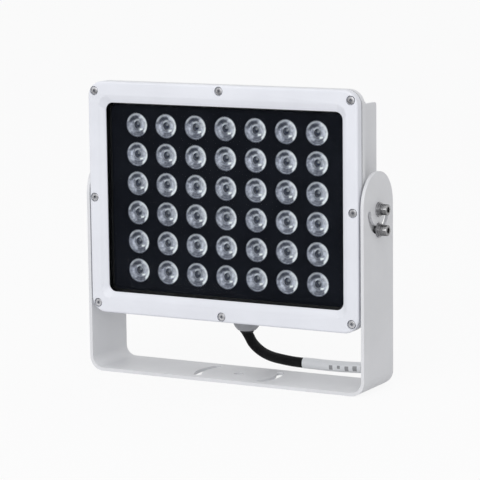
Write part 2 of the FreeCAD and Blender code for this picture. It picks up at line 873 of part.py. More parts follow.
def make_terminal():
    """Three-way screw terminal between the cord and the driver."""
    body = block(
        -terminal_half_x, terminal_half_x, floor_back_y, floor_back_y + terminal_deep,
        terminal_bottom_z, terminal_top_z,
    )
    mid_z = (terminal_bottom_z + terminal_top_z) / 2
    cuts = []
    for x in core_offsets():
        cuts.append(cylinder_z(core_hole_r, x, core_y, terminal_bottom_z, terminal_bottom_z + 4))
        cuts.append(cylinder_z(core_hole_r, x, core_y, terminal_top_z - 4, terminal_top_z))
        cuts.append(cylinder_y(2.0, x, mid_z, floor_back_y + terminal_deep - 2, floor_back_y + terminal_deep))
    return body.cut(cuts)


def make_driver_leads():
    """Three short wires from the terminals up to the driver."""
    start = terminal_top_z - 4
    return group([cylinder_z(core_r, x, core_y, start, driver_bottom_z) for x in core_offsets()])


def make_cover():
    """Plate that closes the driver box, with sunk screw seats."""
    mid_z, half_z = cover_middle()
    cover = rounded_slab(
        box_half_x - cover_edge_gap, half_z, cover_corner_r, rim_y + cover_gasket_thick, rear_y, 0.0, mid_z
    )
    cuts = []
    for x, z in box_screw_places():
        cuts.append(cylinder_y(cover_screw_clear_r, x, z, rim_y, rear_y))
        sink = cover_screw_head_r - cover_screw_r
        cuts.append(Part.makeCone(
            cover_screw_r, cover_screw_head_r + 0.1, sink, Vector(x, rear_y - sink, z), Vector(0, 1, 0)
        ))
    return cover.cut(cuts)


def cover_middle():
    """Middle height and half height of the rear cover."""
    low = body_bottom_z + cover_edge_gap
    high = box_top_z - cover_edge_gap
    return (low + high) / 2, (high - low) / 2


def make_cover_gasket():
    """Rubber under the rear cover."""
    mid_z, half_z = cover_middle()
    y_to = rim_y + cover_gasket_thick
    ring = rounded_slab(box_half_x - cover_edge_gap, half_z, cover_corner_r, rim_y, y_to, 0.0, mid_z)
    hollow = block(
        box_wall - box_half_x, box_half_x - box_wall, rim_y, y_to, box_floor_z, box_top_z - box_wall
    )
    holes = [cylinder_y(cover_screw_clear_r, x, z, rim_y, y_to) for x, z in box_screw_places()]
    return ring.cut([hollow] + holes)


def make_cover_screws():
    """Countersunk screws of the rear cover."""
    sink = cover_screw_head_r - cover_screw_r
    screws = []
    for x, z in box_screw_places():
        head = Part.makeCone(
            cover_screw_r, cover_screw_head_r, sink, Vector(x, rear_y - sink, z), Vector(0, 1, 0)
        )
        shank = cylinder_y(cover_screw_r, x, z, rear_y - cover_screw_length, rear_y - sink)
        screw = fuse_all([head, shank])
        socket = hexagon(2.0, Vector(x, rear_y - 1.0, z), Vector(0, 1, 0), 1.0)
        screws.append(screw.cut(socket))
    return group(screws)


def revolved(points):
    """Solid turned about the gland's axis from points given as radius and height."""
    profile = [Vector(radius, gland_y, z) for radius, z in points]
    face = Part.Face(Part.makePolygon(profile + profile[:1]))
    return face.revolve(Vector(0, gland_y, 0), Vector(0, 0, 1), 360)


def make_gland_body():
    """Gland body: thread into the housing, hexagon, and the sleeve that the nut goes on."""
    thread = cylinder_z(gland_thread_r, 0, gland_y, gland_ring_bottom_z, box_floor_z)
    hexa = hexagon(gland_hex_flats, Vector(0, gland_y, gland_hex_bottom_z), Vector(0, 0, 1), gland_hex_high)
    sleeve = cylinder_z(gland_sleeve_r, 0, gland_y, gland_nut_top_z - gland_nut_hex_high, gland_hex_bottom_z)
    bore = cylinder_z(gland_bore_r, 0, gland_y, gland_nut_top_z - gland_nut_hex_high, box_floor_z)
    return fuse_all([thread, hexa, sleeve]).cut(bore)


def make_gland_ring():
    """Sealing ring between the gland's hexagon and the wall."""
    ring = cylinder_z(gland_ring_r, 0, gland_y, gland_ring_bottom_z, body_bottom_z)
    return ring.cut(cylinder_z(gland_thread_r + thread_fit, 0, gland_y, gland_ring_bottom_z, body_bottom_z))


def make_gland_nut():
    """Domed nut: hexagon above, dome below, open at its mouth for the seal."""
    hex_bottom = gland_nut_top_z - gland_nut_hex_high
    hexa = hexagon(gland_nut_flats, Vector(0, gland_y, hex_bottom), Vector(0, 0, 1), gland_nut_hex_high)
    shoulder_r = gland_nut_flats / 2
    dome_high = hex_bottom - gland_nut_bottom_z
    rise = shoulder_r - gland_nut_mouth_r - 0.4
    bulge = Vector(
        gland_nut_mouth_r + 0.4 + rise * math.sin(math.radians(50)),
        gland_y,
        hex_bottom - dome_high * math.cos(math.radians(42)),
    )
    top = Vector(shoulder_r, gland_y, hex_bottom)
    mouth = Vector(gland_nut_mouth_r + 0.4, gland_y, gland_nut_bottom_z)
    axis_low, axis_high = Vector(0, gland_y, gland_nut_bottom_z), Vector(0, gland_y, hex_bottom)
    outline = Part.Wire([
        Part.LineSegment(axis_low, mouth).toShape(),
        Part.Arc(mouth, bulge, top).toShape(),
        Part.LineSegment(top, axis_high).toShape(),
        Part.LineSegment(axis_high, axis_low).toShape(),
    ])
    dome = Part.Face(outline).revolve(Vector(0, gland_y, 0), Vector(0, 0, 1), 360)
    hollow = cylinder_z(gland_sleeve_r + thread_fit, 0, gland_y, hex_bottom, gland_nut_top_z)
    mouth_hole = cylinder_z(gland_seal_r + thread_fit, 0, gland_y, gland_nut_bottom_z, hex_bottom)
    return fuse_all([hexa, dome]).cut([hollow, mouth_hole])


def make_gland_seal():
    """Rubber insert that grips the cord and stands out of the nut as a short cone."""
    top = gland_nut_top_z - gland_nut_hex_high
    bore = cord_r + cord_fit
    return revolved([
        (bore, cord_exit_z),
        (gland_seal_lip_r, cord_exit_z),
        (gland_seal_r, gland_nut_bottom_z),
        (gland_seal_r, top),
        (bore, top),
    ])


def arc_radii(points):
    """Radius of the arc at each inner point of a route."""
    radii = []
    for before, here, after in zip(points, points[1:], points[2:]):
        run_in, run_out = here - before, after - here
        turn = run_in.getAngle(run_out)
        radii.append(0.45 * min(run_in.Length, run_out.Length) / math.tan(turn / 2))
    return radii


def route_edges(points, radii):
    """Straight runs joined by tangent arcs of these radii."""
    edges = []
    start = points[0]
    for index, radius in enumerate(radii):
        before, here, after = points[index:index + 3]
        back = (before - here).normalize()
        ahead = (after - here).normalize()
        half_turn = (math.pi - back.getAngle(ahead)) / 2
        reach = radius * math.tan(half_turn)
        arc_start, arc_end = here + back * reach, here + ahead * reach
        inward = (back + ahead).normalize()
        middle = here + inward * (radius / math.cos(half_turn) - radius)
        edges.append(Part.LineSegment(start, arc_start).toShape())
        edges.append(Part.Arc(arc_start, middle, arc_end).toShape())
        start = arc_end
    edges.append(Part.LineSegment(start, points[-1]).toShape())
    return edges


def tube(points, radii, radius):
    """Round tube along a route."""
    path = Part.Wire(route_edges(points, radii))
    along = (points[1] - points[0]).normalize()
    ring = Part.Wire(Part.makeCircle(radius, points[0], along))
    return path.makePipeShell([ring], True, False)


def make_cord():
    """Cord from the gland down to the floor and along it to its free end, cut level under the gland."""
    radii = arc_radii(cord_route)
    start, following = cord_route[:2]
    inside = start + (start - following).normalize() * cord_r
    cord = tube([inside] + cord_route[1:], radii, cord_r)
    cord = cord.cut(cylinder_z(gland_ring_r, 0, gland_y, cord_exit_z, inside.z + cord_r))
    path = Part.Wire(route_edges(cord_route, radii))
    share = cord.Volume / (math.pi * cord_r ** 2 * path.Length)
    print("cord: length %.1f, volume share %.4f" % (path.Length, share))
    print("cord radii:", " ".join("%.0f" % radius for radius in radii))
    return cord


def sleeve_span():
    """First and last inner point of the route that the marking sleeve covers."""
    inner = range(1, len(cord_route) - 1)
    covered = [index for index in inner if sleeve_from_x < cord_route[index].x < sleeve_to_x]
    return covered[0], covered[-1]


def make_sleeve():
    """Pale marking sleeve pushed over the cord, from mid run to mid run."""
    first, last = sleeve_span()
    start = (cord_route[first - 1] + cord_route[first]) * 0.5
    end = (cord_route[last] + cord_route[last + 1]) * 0.5
    points = [start] + cord_route[first:last + 1] + [end]
    radii = arc_radii(cord_route)[first - 1:last]
    outer = tube(points, radii, cord_r + cord_fit + sleeve_wall)
    return outer.cut(tube(points, radii, cord_r + cord_fit))


def cord_end():
    """Free end of the cord and the direction in which it points."""
    return cord_route[-1], (cord_route[-1] - cord_route[-2]).normalize()


def lead_starts():
    """Where each of the three leads leaves the cord's end, and its sideways direction."""
    end, along = cord_end()
    side = Vector(-along.y, along.x, 0).normalize()
    starts = []
    for spread, rise in ((-1.0, -0.45), (0.0, 0.9), (1.0, -0.45)):
        starts.append((end + side * (spread * lead_ring_r) + Vector(0, 0, rise * lead_ring_r), side * spread))
    return starts


def lead_points(start, sideways):
    """Route of one lead: out of the cord, down to the floor and slightly apart."""
    _, along = cord_end()
    low = lead_r + 0.1
    bend = start + along * (lead_length * 0.25)
    landing = start + along * (lead_length * 0.62) + sideways * 0.8
    tip = start + along * lead_length + sideways * 3.0
    return [start, bend, Vector(landing.x, landing.y, low), Vector(tip.x, tip.y, low)]


def make_leads():
    """Three insulated leads at the cord's free end."""
    leads = []
    for start, sideways in lead_starts():
        points = lead_points(start, sideways)
        leads.append(tube(points, arc_radii(points), lead_r))
    return group(leads)


def make_lead_tips():
    """Bare copper at the end of each lead."""
    tips = []
    for start, sideways in lead_starts():
        points = lead_points(start, sideways)
        along = (points[-1] - points[-2]).normalize()
        tips.append(Part.makeCylinder(lead_bare_r, lead_bare_length, points[-1], along))
    return group(tips)


def make_held_cord():
    """The stretch of the cord that the gland grips, up into the driver box."""
    return cylinder_z(cord_r, 0, gland_y, cord_exit_z, box_floor_z + cord_inner_above)


def make_cores():
    """Three cores from the cord's inner end to the terminals."""
    bottom = box_floor_z + cord_inner_above
    cores = []
    for x in core_offsets():
        start_x = x * core_gather
        points = [
            Vector(start_x, gland_y, bottom),
            Vector(start_x, gland_y, bottom + 2.5),
            Vector(x, core_y, terminal_bottom_z - 3.0),
            Vector(x, core_y, terminal_bottom_z + 4.0),
        ]
        cores.append(tube(points, arc_radii(points), core_r))
    return group(cores)


def main():
    """Build every sub-part and write it."""
    save(make_bracket(), "bracket")
    save(make_cord(), "supply_cord")
    save(make_sleeve(), "cord_sleeve")
    save(make_leads(), "cord_leads")
    save(make_lead_tips(), "lead_tips")
    save(make_front_frame(), "front_frame")
    save(make_frame_screws(), "frame_screws")
    save(make_body_gasket(), "body_gasket")
    save(make_glass(), "front_glass")
    save(make_glass_channel(), "glass_channel")
    save(make_mask(), "mask_tray")
    save(make_lenses(), "lenses")
    save(make_chips(), "led_chips")
    save(make_board(), "led_board")
    save(make_board_screws(), "board_screws")
    save(make_board_wires(), "board_wires")
    save(make_pad(), "thermal_pad")
    save(make_housing(), "rear_housing")
    save(make_driver(), "driver")
    save(make_driver_screws(), "driver_screws")
    save(make_terminal(), "terminal_block")
    save(make_driver_leads(), "driver_leads")
    save(make_cover(), "rear_cover")
    save(make_cover_gasket(), "cover_gasket")
    save(make_cover_screws(), "cover_screws")
    save(make_gland_body(), "gland_body")
    save(make_gland_ring(), "gland_ring")
    save(make_gland_nut(), "gland_nut")
    save(make_gland_seal(), "gland_seal")
    save(make_held_cord(), "held_cord")
    save(make_cores(), "cord_cores")
    save(make_bolts(pivot_z), "pivot_bolts")
    save(make_bolts(pivot_z - slot_arc_r), "lock_bolts")
    save(make_flat_washers(), "flat_washers")
    save(make_spring_washers(), "spring_washers")
    save(make_friction_pads(), "friction_pads")


main()
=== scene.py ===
import logging
import math
from dataclasses import dataclass, field
from enum import Enum
from typing import Callable, Iterable, Mapping, Sequence, Union

import bmesh
import bpy
from mathutils import Matrix, Quaternion, Vector


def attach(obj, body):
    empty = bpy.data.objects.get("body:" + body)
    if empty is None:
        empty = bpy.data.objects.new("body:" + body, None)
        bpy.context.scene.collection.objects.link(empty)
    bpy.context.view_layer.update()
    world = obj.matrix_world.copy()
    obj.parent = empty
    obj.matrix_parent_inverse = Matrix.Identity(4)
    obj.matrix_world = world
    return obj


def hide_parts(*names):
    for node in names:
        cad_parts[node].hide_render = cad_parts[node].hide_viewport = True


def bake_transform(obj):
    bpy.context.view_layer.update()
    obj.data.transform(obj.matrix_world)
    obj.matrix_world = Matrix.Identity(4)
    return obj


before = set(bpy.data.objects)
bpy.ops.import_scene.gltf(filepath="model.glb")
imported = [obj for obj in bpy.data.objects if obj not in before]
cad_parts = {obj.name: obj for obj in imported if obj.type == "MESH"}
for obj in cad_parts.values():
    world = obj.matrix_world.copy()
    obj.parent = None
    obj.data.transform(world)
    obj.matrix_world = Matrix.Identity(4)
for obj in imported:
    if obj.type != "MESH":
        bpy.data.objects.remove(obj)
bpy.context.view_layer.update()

log = logging.getLogger("flood_light")

Point = tuple[float, float, float]
Screen = tuple[int, int, int]
Arc = tuple[float, float, float, float, float]
MM = 0.001


class Body(Enum):
    """The two bodies that the hinge joins."""

    BRACKET = "bracket"
    HEAD = "head"


def linear(red: int, green: int, blue: int) -> tuple[float, float, float, float]:
    """A colour written as screen values, as the linear colour that a shader takes.

    Args:
        red: Screen value from 0 to 255.
        green: Screen value from 0 to 255.
        blue: Screen value from 0 to 255.

    Returns:
        Linear red, green and blue, with full alpha.
    """
    def one(value: int) -> float:
        """One channel made linear."""
        share = value / 255
        return share / 12.92 if share <= 0.04045 else ((share + 0.055) / 1.055) ** 2.4

    return one(red), one(green), one(blue), 1.0


class Wire:
    """A shader socket that adds a Math node where it is used in a sum or product."""

    def __init__(self, graph: "Graph", socket: bpy.types.NodeSocket) -> None:
        """Keeps the socket and the graph it belongs to."""
        self.graph = graph
        self.socket = socket

    def math(self, operation: str, *values: Union["Wire", float]) -> "Wire":
        """Adds one Math node.

        Args:
            operation: What the node does.
            values: What goes into its sockets, in order.

        Returns:
            The node's result.
        """
        node = self.graph.add("ShaderNodeMath", {"operation": operation}, dict(enumerate(values)))
        return Wire(self.graph, node.outputs[0])

    def __add__(self, other: Union["Wire", float]) -> "Wire":
        """Sum."""
        return self.math("ADD", self, other)

    def __radd__(self, other: float) -> "Wire":
        """Sum with a number on the left."""
        return self.math("ADD", other, self)

    def __sub__(self, other: Union["Wire", float]) -> "Wire":
        """Difference."""
        return self.math("SUBTRACT", self, other)

    def __rsub__(self, other: float) -> "Wire":
        """Difference from a number."""
        return self.math("SUBTRACT", other, self)

    def __mul__(self, other: Union["Wire", float]) -> "Wire":
        """Product."""
        return self.math("MULTIPLY", self, other)

    def __rmul__(self, other: float) -> "Wire":
        """Product with a number on the left."""
        return self.math("MULTIPLY", other, self)

    def __truediv__(self, other: Union["Wire", float]) -> "Wire":
        """Quotient."""
        return self.math("DIVIDE", self, other)

    def __pow__(self, other: float) -> "Wire":
        """Power."""
        return self.math("POWER", self, other)

    def wrapped(self, half: float) -> "Wire":
        """The value folded into the range from -half to half."""
        return self.math("WRAP", self, half, -half)

    def sine(self) -> "Wire":
        """Sine of the value."""
        return self.math("SINE", self)

    def near(self, middle: float, half: float, soft: float) -> "Wire":
        """One within half of the middle, falling to nought over the soft edge."""
        off = self - middle
        return 1 - (off * off).rise(half ** 2, (half + soft) ** 2)

    def over(self, edge: float) -> "Wire":
        """One where the value is more than the edge, else nought."""
        return self.math("GREATER_THAN", self, edge)

    def larger(self, other: Union["Wire", float]) -> "Wire":
        """The larger of two values."""
        return self.math("MAXIMUM", self, other)

    def angle_from(self, across: "Wire") -> "Wire":
        """Angle of the point whose height is this value and whose width is the other."""
        return self.math("ARCTAN2", self, across)

    def rise(self, low: float, high: float) -> "Wire":
        """Smooth step from nought at low to one at high.

        Args:
            low: Where the step starts.
            high: Where it ends.

        Returns:
            The step's value.
        """
        node = self.graph.add(
            "ShaderNodeMapRange",
            {"interpolation_type": "SMOOTHSTEP"},
            {"Value": self, "From Min": low, "From Max": high},
        )
        return Wire(self.graph, node.outputs[0])


class Graph:
    """The node tree of one material."""

    def __init__(self, name: str) -> None:
        """Starts an empty material of this name.

        Args:
            name: The material's name.
        """
        self.material = bpy.data.materials.new(name)
        self.material.use_nodes = True
        self.tree = self.material.node_tree
        self.tree.nodes.clear()
        self.output = self.add("ShaderNodeOutputMaterial")

    def add(
        self,
        kind: str,
        settings: Mapping[str, object] = {},
        values: Mapping[Union[int, str], object] = {},
    ) -> bpy.types.Node:
        """Adds a node.

        Args:
            kind: The node's type.
            settings: What is set on the node itself, before its sockets.
            values: What goes into its sockets, by name or number: a wire, a number or a colour.

        Returns:
            The new node.
        """
        node = self.tree.nodes.new(kind)
        for key, setting in settings.items():
            setattr(node, key, setting)
        for key, value in values.items():
            if isinstance(value, Wire):
                self.tree.links.new(value.socket, node.inputs[key])
            else:
                node.inputs[key].default_value = value
        return node

    def place(self) -> Wire:
        """Place of the shaded point in the part's own frame, in metres."""
        return Wire(self, self.add("ShaderNodeTexCoord").outputs["Object"])

    def axes(self) -> tuple[Wire, Wire, Wire]:
        """The same place as three separate values."""
        node = self.add("ShaderNodeSeparateXYZ", {}, {0: self.place()})
        return tuple(Wire(self, socket) for socket in node.outputs)

    def stretched(self, scale: Point) -> Wire:
        """The place with each axis multiplied, for a grain that runs one way."""
        node = self.add("ShaderNodeMapping", {}, {"Vector": self.place(), "Scale": scale})
        return Wire(self, node.outputs[0])

    def noise(self, scale: float, detail: float = 2.0, where: Union[Wire, None] = None) -> Wire:
        """Cloudy pattern.

        Args:
            scale: How many cells a metre holds.
            detail: How many finer layers it has.
            where: The place it reads, or None for the part's own frame.

        Returns:
            The pattern, about nought to one.
        """
        node = self.add(
            "ShaderNodeTexNoise", {}, {"Vector": where or self.place(), "Scale": scale, "Detail": detail}
        )
        return Wire(self, node.outputs["Fac"])

    def mix(self, share: Wire, first: object, second: object) -> Wire:
        """Colour between two, by share."""
        node = self.add("ShaderNodeMix", {"data_type": "RGBA"}, {0: share, 6: first, 7: second})
        return Wire(self, node.outputs[2])

    def bump(self, height: Wire, distance: float, strength: float = 1.0) -> Wire:
        """Normal that follows a height pattern.

        Args:
            height: The pattern, from nought to one.
            distance: How high one is, in metres.
            strength: How much of it shows.

        Returns:
            The normal.
        """
        node = self.add(
            "ShaderNodeBump", {}, {"Height": height, "Distance": distance, "Strength": strength}
        )
        return Wire(self, node.outputs[0])

    def shader(self, values: Mapping[str, object]) -> Wire:
        """One principled shader with these socket values."""
        return Wire(self, self.add("ShaderNodeBsdfPrincipled", {}, values).outputs[0])

    def between(self, share: Wire, first: Wire, second: Wire) -> Wire:
        """Two shaders mixed by share."""
        node = self.add("ShaderNodeMixShader", {}, {0: share, 1: first, 2: second})
        return Wire(self, node.outputs[0])

    def done(self, surface: Wire) -> bpy.types.Material:
        """Joins the surface to the output and returns the material."""
        self.tree.links.new(surface.socket, self.output.inputs["Surface"])
        return self.material


@dataclass(frozen=True)
class Finish:
    """A finish with a name, a colour in screen values and a base roughness."""

    name: str
    colour: Screen
    roughness: float

    def tone(self, by: int) -> tuple[float, float, float, float]:
        """The colour a few screen steps lighter or darker."""
        return linear(*(max(0, min(255, value + by)) for value in self.colour))

    def marked(self, graph: Graph, colour: Wire) -> Wire:
        """The colour with marks of its own; a plain finish has none."""
        return colour

    def material(self) -> bpy.types.Material:
        """Builds the material."""
        raise NotImplementedError


@dataclass(frozen=True)
class PowderCoat(Finish):
    """Baked powder paint: fine pebbled skin, slightly uneven tone."""

    pebble: float = 1100.0
    skin: float = 0.000022

    def material(self) -> bpy.types.Material:
        """Builds the paint.

        Returns:
            The material.
        """
        graph = Graph(self.name)
        cloud = graph.noise(18.0, 3.0)
        skin = graph.noise(self.pebble, 2.0)
        colour = graph.mix(cloud.rise(0.3, 0.7), self.tone(-3), self.tone(2))
        colour = graph.mix(skin.rise(0.62, 0.8) * 0.35, colour, self.tone(6))
        return graph.done(graph.shader({
            "Base Color": self.marked(graph, colour),
            "Roughness": self.roughness + (skin - 0.5) * 0.12 + (cloud - 0.5) * 0.05,
            "Normal": graph.bump(skin, self.skin, 0.6),
        }))


@dataclass(frozen=True)
class ChamberPaint(PowderCoat):
    """The housing's paint, black on the lamp chamber's rim behind the glass."""

    half_x: float = 0.1243
    half_z: float = 0.0923
    middle_z: float = 0.160
    back_y: float = -0.0175
    soft: float = 0.0001
    black: Screen = (12, 12, 15)

    def marked(self, graph: Graph, colour: Wire) -> Wire:
        """Black inside the chamber's rim, else the paint's colour.

        Args:
            graph: The material's node tree.
            colour: The colour without the marks.

        Returns:
            The colour with them.
        """
        across, depth, up = graph.axes()
        in_width = across.near(0.0, self.half_x, self.soft)
        in_height = (up - self.middle_z).near(0.0, self.half_z, self.soft)
        rim = in_width * in_height * (1 - depth.over(self.back_y))
        return graph.mix(rim, colour, linear(*self.black))


@dataclass(frozen=True)
class Rubber(Finish):
    """Dull rubber with a dusty bloom."""

    grain: float = 900.0
    gloss: float = 0.3

    def material(self) -> bpy.types.Material:
        """Builds the rubber.

        Returns:
            The material.
        """
        graph = Graph(self.name)
        bloom = graph.noise(55.0, 4.0)
        grain = graph.noise(self.grain, 3.0)
        colour = graph.mix(bloom.rise(0.35, 0.75), self.tone(-2), self.tone(7))
        return graph.done(graph.shader({
            "Base Color": colour,
            "Roughness": self.roughness + (grain - 0.5) * 0.2,
            "Specular IOR Level": self.gloss,
            "Normal": graph.bump(grain, 0.00003, 0.5),
        }))


@dataclass(frozen=True)
class Moulded(Finish):
    """Moulded plastic with a fine spark-eroded skin."""

    grain: float = 1600.0
    gloss: float = 0.5

    def material(self) -> bpy.types.Material:
        """Builds the plastic.

        Returns:
            The material.
        """
        graph = Graph(self.name)
        flow = graph.noise(35.0, 2.0)
        grain = graph.noise(self.grain, 1.0)
        colour = graph.mix(flow.rise(0.3, 0.7), self.tone(-3), self.tone(3))
        return graph.done(graph.shader({
            "Base Color": self.marked(graph, colour),
            "Roughness": self.roughness + (grain - 0.5) * 0.15,
            "Specular IOR Level": self.gloss,
            "Normal": graph.bump(grain, 0.000015, 0.5),
        }))


@dataclass(frozen=True)
class MarkedSleeve(Moulded):
    """Pale sleeve with a few plain dark bars on its front."""

    bars: tuple[tuple[float, float, float, float], ...] = (
        (66.2, 1.5, 4.4, 1.9), (73.8, 1.2, 5.2, 1.2), (81.3, 1.5, 4.2, 2.0), (88.8, 1.7, 4.6, 2.2),
    )
    back_y: float = 57.0
    soft: float = 0.4
    strength: float = 0.62
    ink: Screen = (40, 42, 48)

    def marked(self, graph: Graph, colour: Wire) -> Wire:
        """The sleeve's colour with the bars on it.

        Args:
            graph: The material's node tree.
            colour: The colour without the marks.

        Returns:
            The colour with them.
        """
        across, depth, up = (axis / MM for axis in graph.axes())
        front = 1 - depth.over(self.back_y)
        for middle, half, height, half_height in self.bars:
            bar = across.near(middle, half, self.soft) * up.near(height, half_height, self.soft)
            colour = graph.mix(bar * front * self.strength, colour, linear(*self.ink))
        return colour


@dataclass(frozen=True)
class TurnedSteel(Finish):
    """Bare steel with fine tool marks along the part's X axis and dull patches."""

    def material(self) -> bpy.types.Material:
        """Builds the steel.

        Returns:
            The material.
        """
        graph = Graph(self.name)
        marks = graph.noise(1.0, 3.0, graph.stretched((5200.0, 420.0, 420.0)))
        dull = graph.noise(240.0, 3.0)
        colour = graph.mix(dull.rise(0.35, 0.7), self.tone(-16), self.tone(12))
        return graph.done(graph.shader({
            "Base Color": self.marked(graph, colour),
            "Metallic": 1.0,
            "Roughness": self.roughness + (marks - 0.5) * 0.18 + dull.rise(0.4, 0.8) * 0.12,
            "Normal": graph.bump(marks, 0.00002, 0.6),
        }))


@dataclass(frozen=True)
class SocketSteel(TurnedSteel):
    """Steel of the frame's screws, with painted shade in the socket and round the head."""

    shade_from_y: float = -0.0311
    soft: float = 0.0001
    painted_shade: Screen = (136, 138, 144)

    def marked(self, graph: Graph, colour: Wire) -> Wire:
        """Painted shade behind the head's face, else the steel's colour.

        Args:
            graph: The material's node tree.
            colour: The colour without the marks.

        Returns:
            The colour with them.
        """
        _, depth, _ = graph.axes()
        # Painted shade: darker in the socket and round the head, behind its face.
        deep = depth.rise(self.shade_from_y - self.soft, self.shade_from_y + self.soft)
        return graph.mix(deep, colour, linear(*self.painted_shade))


@dataclass(frozen=True)
class BoardMask(Finish):
    """Solder mask on the circuit board, with its tracks just showing."""

    pitch: float = 3.6

    def material(self) -> bpy.types.Material:
        """Builds the board's face.

        Returns:
            The material.
        """
        graph = Graph(self.name)
        across, _, up = graph.axes()
        pitch = self.pitch * MM
        waves = (across * (1 / pitch)).sine() * (up * (0.6 / pitch)).sine()
        track = waves.rise(0.1, 0.3)
        colour = graph.mix(track, self.tone(-12), self.tone(4))
        return graph.done(graph.shader({
            "Base Color": colour,
            "Roughness": self.roughness + (graph.noise(300.0) - 0.5) * 0.1,
            "Normal": graph.bump(track, 0.00003, 0.5),
        }))


@dataclass(frozen=True)
class LensPlace:
    """Where a lens's middle lies in the grid, in millimetres."""

    pitch_x: float = 30.0
    pitch_z: float = 26.4
    middle_z: float = 160.0

    def across_and_up(self, graph: Graph) -> tuple[Wire, Wire]:
        """Place in the nearest lens, from its middle, in millimetres.

        Args:
            graph: The material's node tree.

        Returns:
            Place across and place up.
        """
        across, _, up = graph.axes()
        u = (across / MM).wrapped(self.pitch_x / 2)
        v = (up / MM - (self.middle_z - self.pitch_z / 2)).wrapped(self.pitch_z / 2)
        return u, v


@dataclass(frozen=True)
class LensOptics(Finish):
    """Clear lens with bright rings that are painted highlights, and dark arcs of painted shade and dark
    reflections.
    """

    spot: LensPlace = LensPlace()
    shade: Screen = (44, 48, 62)
    bright: Screen = (252, 252, 255)
    white: Screen = (255, 255, 255)
    ring_pitch: float = 1.25
    soft_turn: float = 18.0
    soft_out: float = 0.9
    # Painted shade and dark reflections: dark arcs drawn on every lens.
    painted_dark_reflections: tuple[Arc, ...] = (
        (104.0, 18.0, 6.5, 1.1, 0.8), (138.0, 16.0, 8.3, 1.0, 0.8), (118.0, 20.0, 7.3, 1.0, 0.6),
        (278.0, 26.0, 7.9, 1.2, 0.7), (208.0, 58.0, 4.6, 0.9, 0.5), (204.0, 34.0, 9.4, 0.9, 0.35),
        (60.0, 24.0, 4.8, 1.0, 0.3), (250.0, 30.0, 6.0, 1.2, 0.3), (272.0, 40.0, 10.0, 0.5, 0.3),
        (95.0, 12.0, 9.6, 0.5, 0.4),
    )
    # Painted highlights: bright arcs drawn where light would reflect in the lens.
    painted_glints: tuple[Arc, ...] = (
        (40.0, 14.0, 8.8, 0.7, 0.8), (336.0, 18.0, 9.1, 0.7, 1.0), (8.0, 16.0, 9.0, 0.3, 0.6),
        (20.0, 44.0, 7.4, 1.0, 0.3), (112.0, 34.0, 9.7, 0.2, 0.35), (112.0, 30.0, 4.6, 0.3, 0.3),
        (16.0, 18.0, 4.7, 0.3, 0.35),
    )

    def soft_arc(self, angle: Wire, out: Wire, arc: Arc) -> Wire:
        """One soft arc on the lens.

        Args:
            angle: Angle round the lens's middle, in radians.
            out: Distance from the middle, in millimetres.
            arc: Its middle angle and half angle in degrees, its radius, its half width and its strength.

        Returns:
            How much of the arc shows at the point.
        """
        middle, half, radius, width, strength = arc
        turn = (angle - math.radians(middle)).wrapped(math.pi)
        on_angle = turn.near(0.0, math.radians(half), math.radians(self.soft_turn))
        return on_angle * out.near(radius, width, self.soft_out) * strength

    def material(self) -> bpy.types.Material:
        """Builds the lens.

        Returns:
            The material.
        """
        graph = Graph(self.name)
        u, v = self.spot.across_and_up(graph)
        out = (u * u + v * v) ** 0.5
        angle = v.angle_from(u) + (graph.noise(34.0, 1.0) - 0.5) * 0.9
        rings = (out * (2 * math.pi / self.ring_pitch)).sine() * 0.5 + 0.5
        haze = graph.noise(420.0, 3.0)
        patches = graph.noise(22.0, 1.0).rise(0.35, 0.65)
        rim = out.rise(9.7, 10.7)
        dark = linear(*self.shade)
        colour = graph.mix(haze.rise(0.36, 0.64), self.tone(-34), self.tone(16))
        for share in (patches * 0.16, rings * 0.22, rim * 0.85):
            colour = graph.mix(share, colour, dark)
        # Painted shade and dark reflections, drawn as dark arcs.
        for arc in self.painted_dark_reflections:
            colour = graph.mix(self.soft_arc(angle, out, arc), colour, dark)
        # Painted highlights, drawn as bright arcs.
        for glint in self.painted_glints:
            colour = graph.mix(self.soft_arc(angle, out, glint), colour, linear(*self.bright))
        # Painted highlight: a small white spot below and to the right of each lens's middle.
        painted_highlight_spot = u.near(2.9, 1.1, 1.0) * (v - u * 0.15).near(-4.5, 0.45, 0.6)
        colour = graph.mix(painted_highlight_spot, colour, linear(*self.white))
        return graph.done(graph.shader({
            "Base Color": colour,
            "Roughness": self.roughness + haze.rise(0.4, 0.9) * 0.08 + rings * 0.05,
            "Specular IOR Level": 0.3,
            "Normal": graph.bump(rings, 0.00002, 0.5),
        }))


@dataclass(frozen=True)
class LensMiddle(Finish):
    """Small middle lens that looks dark over its light source, with a painted highlight on its right
    side.
    """

    spot: LensPlace = LensPlace()
    painted_highlight_tone: Screen = (206, 208, 218)
    chip_tone: Screen = (214, 216, 224)

    def material(self) -> bpy.types.Material:
        """Builds the lens.

        Returns:
            The material.
        """
        graph = Graph(self.name)
        u, v = self.spot.across_and_up(graph)
        cloud = graph.noise(420.0, 2.0)
        colour = graph.mix(cloud.rise(0.3, 0.7), self.tone(-6), self.tone(8))
        out = (u * u + v * v) ** 0.5
        # Painted highlight: the right side of the small lens's edge is painted lighter.
        side = out.rise(2.2, 3.6) * (u + 0.4).rise(-1.5, 2.5)
        colour = graph.mix(side * 0.7, colour, linear(*self.painted_highlight_tone))
        chip = u.near(0.9, 0.4, 0.9) * v.near(1.2, 0.6, 0.9)
        colour = graph.mix(chip * 0.2, colour, linear(*self.chip_tone))
        return graph.done(graph.shader({
            "Base Color": colour,
            "Roughness": self.roughness + (cloud - 0.5) * 0.06,
            "Coat Weight": 0.35,
            "Coat Roughness": 0.04,
        }))


